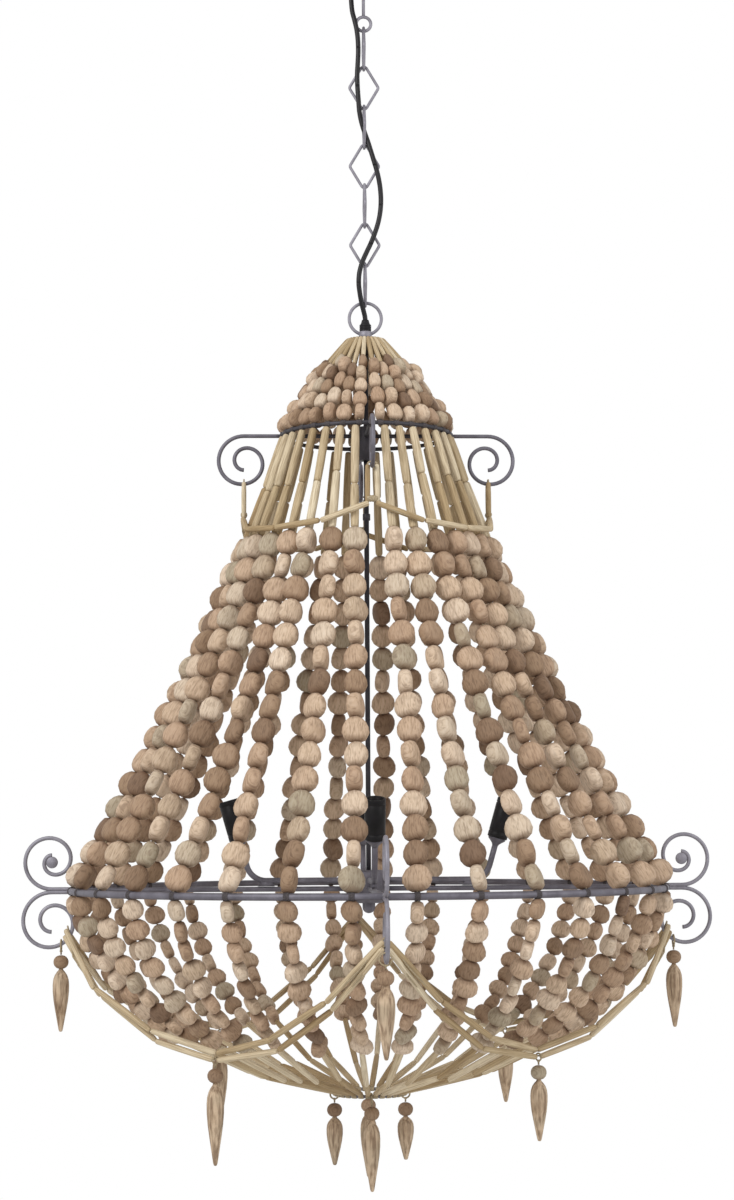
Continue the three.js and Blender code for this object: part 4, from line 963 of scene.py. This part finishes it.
def winding(radius, angle, height, bar):
    """The dark winding of thread round a ring's bar at one string."""
    place = round_axis(radius, angle, height)
    run = Vector((-math.sin(angle), math.cos(angle), 0))
    size = Vector((bar / 2 + 0.35, bar / 2 + 0.35, 3.2)) * MM
    return place, run, Vector((0, 0, 1)), size, 2, 0.0, 0.0


def bow(start, middle, end, steps):
    """A bowed line between two points of radius and height, drawn to a third."""
    line = []
    for k in range(steps + 1):
        t = k / steps
        shares = (1 - t) ** 2, 2 * t * (1 - t), t * t
        line.append(tuple(
            a * shares[0] + b * shares[1] + c * shares[2] for a, b, c in zip(start, middle, end)
        ))
    return line


# Each string ends so far above or below the middle of a ring's bar, on its winding.
upper_hold, lower_hold, bottom_hold = 3.465, 4.764, 3.032
corners = ["back_right", "back_left", "front_left", "front_right"]
angles = [(k + 0.5) * 2 * math.pi / string_count for k in range(string_count)]
crown_top = (21.3, cap_top - 1.5)
crown_foot = (upper_radius, upper_ring + upper_hold)
crown_bend = ((crown_top[0] + crown_foot[0]) / 2 + 10, (crown_top[1] + crown_foot[1]) / 2 + 4)
crown_sticks = [46, 38, 52, 42, 35, 49]
crown_gather, curtain_gather = 0.035, 0.1
crown_line = bow(crown_top, crown_bend, crown_foot, 40)
threads, pieces = [], []
for k, angle in enumerate(angles):
    length = crown_sticks[5 * k % 6]
    beads = (4 if length > 40 else 5, 11.3, 5.8)
    line, row = bead_string(
        crown_line, angle, (0, crown_gather), (1, length, 2.8), beads, True, 0, k
    )
    threads.append(line[::4])
    pieces += [*row, winding(upper_radius, gathered(angle, crown_gather), upper_ring, 5)]
crown_strings = strung("crown_strings", threads, pieces, 3, dark_winding)

curtain_top = (upper_radius, upper_ring - upper_hold)
curtain_foot = (lower_radius, lower_ring + lower_hold)
curtain_bend = ((curtain_top[0] + curtain_foot[0]) / 2 - 38, (curtain_top[1] + curtain_foot[1]) / 2)
curtain_line = bow(curtain_top, curtain_bend, curtain_foot, 120)
basket_top = (lower_radius, lower_ring - lower_hold)
basket_foot = (bottom_radius, bottom_ring + bottom_hold)
basket_line = bow(basket_top, (lower_radius - 52, basket_foot[1] + 44), basket_foot, 120)
lower_bar = (lower_radius, lower_ring, 8)
bottom_bar = (bottom_radius, bottom_ring, 4)
for group, corner in enumerate(corners):
    for name, profile, gather, sticks, beads, first, sway, ring, wound in (
        (
            "curtain_strings", curtain_line, (curtain_gather, 0), (2, 67, 5.0),
            (15, 15.0, 8.5), True, 7, lower_bar, dark_winding,
        ),
        (
            "basket_strings", basket_line, (0, 0), (2, 100, 3.6),
            (9, 13.0, 6.8), False, 4, bottom_bar, cotton_thread,
        ),
    ):
        threads, pieces = [], []
        for k in range(8):
            angle = angles[group * 8 + k]
            seed = 8 * group + k
            line, row = bead_string(profile, angle, gather, sticks, beads, first, sway, seed)
            threads.append(line[::4])
            pieces += [*row, winding(ring[0], angle, ring[1], ring[2])]
        made = strung(f"{name}_{corner}", threads, pieces, 7 + group, wound)


# Garlands: straw-coloured sticks on cotton thread, hung in bows from scroll to scroll and
# held out by the bead strings behind them. The lower one goes round twice before it is tied.
def radius_at(profile, height):
    """The radius of a falling profile at a height."""
    for (r0, z0), (r1, z1) in zip(profile, profile[1:]):
        if z1 <= height <= z0:
            return r0 + (r1 - r0) * (z0 - height) / (z0 - z1)
    return profile[0][0] if height > profile[0][1] else profile[-1][0]


def garland_bow(tie, sag, profile, reach, furthest, apart, side):
    """One bow from a scroll to the next, held off by the strings behind it. apart lifts it
    between its tie and its low point."""
    line = []
    for k in range(81):
        a = math.pi / 2 * k / 80
        run = math.sin(a) / (math.sin(a) + math.cos(a))
        height = tie[1] - 4 * sag * run * (1 - run) + apart * math.sin(2 * math.pi * run) ** 2
        straight = tie[0] / (math.sin(a) + math.cos(a))
        radius = min(max(straight, radius_at(profile, height) + reach), furthest)
        line.append(round_axis(radius, a + side * math.pi / 2, height))
    return line


def garland_sticks(line, count, spare, bare):
    """Sticks in a row along a bow, with spare bare thread at its ends and its middle."""
    lengths = line_lengths(line)
    step = (lengths[-1] - 2 * spare) / count
    gap, bare_half, stick_radius = 0.3, 3.5, 3.6
    pieces = []
    for k in range(count):
        start, end = spare + step * k + gap, spare + step * (k + 1) - gap
        if bare and k == count // 2 - 1:
            end -= bare_half
        if bare and k == count // 2:
            start += bare_half
        above, below = place_on(line, lengths, start)[0], place_on(line, lengths, end)[0]
        place = ((above + below) / 2).lerp(place_on(line, lengths, (start + end) / 2)[0], 0.3)
        out = Vector((place.x, place.y, 0)).normalized()
        size = Vector((stick_radius, stick_radius, (below - above).length / 2)) * MM
        pieces.append((place, (below - above).normalized(), out, size, 1, 0.0, 1.0))
    return pieces


tie_radius, tie_height = 148.0, -645.319
hanger_height, spare = 44, 5.3
over_scroll = [(spare, -2.65), (4.2, -1.1), (2.4, -0.3), (0, 0)]
over_scroll += [(-away, height) for away, height in reversed(over_scroll[:-1])]
bow_tie = (tie_radius, tie_height - hanger_height)
threads, pieces = [], []
for side in range(4):
    line = garland_bow(bow_tie, 28, curtain_line, 12, tie_radius + 12, 0, side)
    pieces += garland_sticks(line, 4, spare, False)
    hanger = []
    for away, height in over_scroll:
        spot = Vector((tie_radius, away, tie_height + height))
        spot.rotate(Matrix.Rotation(side * math.pi / 2, 3, "Z"))
        hanger.append(spot)
    threads += [line[2:-2:4] + [line[-3]], [line[2], *hanger]]
    foot = line[-3].copy()
    foot.rotate(Matrix.Rotation(-math.pi / 2, 3, "Z"))
    threads.append([hanger[-1], foot])
    for high, low in ((hanger[0], line[2]), (hanger[-1], foot)):
        size = Vector((3, 3, (high - low).length / 2 - 1)) * MM
        out = Vector((low.x, low.y, 0)).normalized()
        pieces.append(((high + low) / 2, (low - high).normalized(), out, size, 1, 0.0, 1.0))
    knot = (hanger[0] + hanger[-1]) / 2
    knot.z = tie_height - hanger_height + 1
    along = Vector((-math.sin(side * math.pi / 2), math.cos(side * math.pi / 2), 0))
    knot_size = Vector((3.4, 3.4, 6.5)) * MM
    pieces.append((knot, along, Vector((0, 0, 1)), knot_size, 2, 0.0, 0.0))
upper_garland = strung("upper_garland", threads, pieces, 17, cotton_thread)

threads, pieces = [], []
for tie, apart in (((357.133, -1178.454), 4), ((359.455, -1186.011), -4)):
    for side in range(4):
        line = garland_bow(tie, 133, basket_line, 28, tie[0], apart, side)
        threads.append(line[::4])
        pieces += garland_sticks(line, 6, 4.0, tie[0] > 358)
lower_garland = strung("lower_garland", threads, pieces, 23, cotton_thread)


# Drops: a turned bead and a turned spindle threaded on cotton, which is tied in a loop on
# what holds it, so that each swings by itself.

# Turned spindles are of the same softwood, smoother, with the grain running down them and
# faint rings where the tool went round.
drop_wood, tree = new_material("turned_softwood_spindle")
place = node(tree, "ShaderNodeTexCoord").outputs["Object"]
stretched = node(tree, "ShaderNodeMapping", {"Vector": place, "Scale": (1.0, 1.0, 0.12)})
lines = node(
    tree, "ShaderNodeTexNoise", {"Vector": stretched, "Scale": 1 / (3.2 * MM), "Detail": 5.0}
)
patches = node(tree, "ShaderNodeTexNoise", {"Vector": place, "Scale": 1 / (30 * MM), "Detail": 3.0})
rings = node(
    tree, "ShaderNodeTexWave", {"Vector": place, "Scale": 1 / (7 * MM), "Distortion": 1.5},
    bands_direction="Z",
)
tones = [(0.32, "#A68C70"), (0.5, "#C8B094"), (0.68, "#B5A187")]
base = node(tree, "ShaderNodeValToRGB", {0: patches}, stops=tones)
depth = node(tree, "ShaderNodeValToRGB", {0: lines}, stops=[(0.36, "#7D664F"), (0.58, "#FFFFFF")])
grained = node(
    tree, "ShaderNodeMix", {0: 0.7, 6: base, 7: depth}, data_type="RGBA", blend_type="MULTIPLY"
).outputs[2]
cut = node(tree, "ShaderNodeMath", {0: lines, 1: rings.outputs[1]}, operation="ADD")
rough = node(tree, "ShaderNodeMapRange", {0: lines, 3: 0.6, 4: 0.8})
surface(tree, grained, rough, cut, 0.3, 0.15)

thread_radius, loop_slack = 1.0, 1.4
bead_radius, bead_height, spindle_length = 9.0, 16, 75


def wooden_drop(name, place, turn, held, share, across, bead_tone):
    """One drop: the loop, the string, the bead and the spindle, all below its place. held is
    the radius of what it hangs on, share the spindle's length to the usual one."""
    ring_radius = (held + 0.3 + thread_radius + loop_slack) / math.cos(math.pi / 8)
    ring = circle(ring_radius, 28, middle=(0, 0, -loop_slack))
    loop = wire(ring, thread_radius, 8, endless=True)
    if across:
        loop = ([Vector((-p.y, p.x, p.z)) for p in loop[0]], loop[1])
    top = -loop_slack - ring_radius
    bead_top = top - 5
    bead_foot = bead_top - bead_height
    knot = [(0, top + 1.2), (1.5, top + 0.8), (1.9, top), (1.5, top - 1.1)]
    knot += [(thread_radius, top - 1.6), (thread_radius, bead_top + 0.5), (0, bead_top + 0.5)]
    ball, middle = [(0, bead_top)], (bead_top + bead_foot) / 2
    for a in (0.18, 0.4, 0.7, 1.05, 1.4, 1.75, 2.1, 2.45, 2.75, 2.98):
        ball.append((bead_radius * math.sin(a) ** 0.85, middle + bead_height / 2 * math.cos(a)))
    ball.append((0, bead_foot))
    outline = [(0, bead_foot + 0.6), (2.4, bead_foot + 0.3)]
    for along, width in (
        (0.02, 3.0), (0.05, 5.0), (0.1, 7.4), (0.17, 9.1), (0.25, 9.7), (0.36, 9.6),
        (0.5, 8.6), (0.64, 6.9), (0.78, 5.0), (0.9, 3.4), (0.965, 2.5), (0.992, 1.7),
    ):
        outline.append((width, bead_foot - spindle_length * share * along))
    outline.append((0, bead_foot - spindle_length * share))
    string_part = shaped(name, loop, turned(knot, 10))
    string_part.data.materials.append(cotton_thread)
    wood_part = shaped(f"{name}_wood", turned(ball, 24), turned(outline, 24))
    wood_part.data.materials.append(drop_wood)
    wood_part.data.materials.append(bead_wood)
    for part in (string_part, wood_part):
        outward(part)
    for face in wood_part.data.polygons:
        face.material_index = face.center.z > (bead_foot + 0.5) * MM
    own = wood_part.data.attributes
    own.new("grain", "FLOAT_VECTOR", "POINT")
    own.new("tone", "FLOAT", "POINT")
    for number, vertex in enumerate(wood_part.data.vertices):
        spot = vertex.co - Vector((0, 0, bead_foot + bead_height / 2)) * MM
        spot = spot / (bead_radius * MM)
        own["grain"].data[number].vector = (spot.z, spot.y, spot.x)
        own["tone"].data[number].value = bead_tone
    for part in (string_part, wood_part):
        part.data.transform(Matrix.Rotation(turn, 4, "Z") @ Matrix.Translation(Vector(place) * MM))
        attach(part, name)
    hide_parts(name)


# Each kind of drop: where its four hang, its place and its quarter, the radius of what
# holds it, whether its loop lies across, its spindles' shares of length, its beads' tones.
kinds_of_drop = [
    (
        "scroll_drop", sides, (364.641, 0, -1199.746), 0, 3.4, True,
        [1, 0.97, 0.98, 1.02], [0.12, 0.2, 0.1, 0.14],
    ),
    (
        "garland_drop", corners, (254.173, 0, -1319.011), 0.5, 1.0, False,
        [0.86, 1.14, 1.2, 0.9], [0.14, 0.1, 0.07, 0.9],
    ),
    (
        "bottom_drop", sides, (bottom_radius, 0, bottom_ring), 0, 2.0, False,
        [0.68, 1.02, 0.75, 1.09], [0.08, 0.2, 0.05, 0.1],
    ),
]
for k in range(4):
    for kind, names, place, quarter, held, across, shares, tones in kinds_of_drop:
        turn = (k + quarter) * math.pi / 2
        wooden_drop(f"{kind}_{names[k]}", place, turn, held, shares[k], across, tones[k])
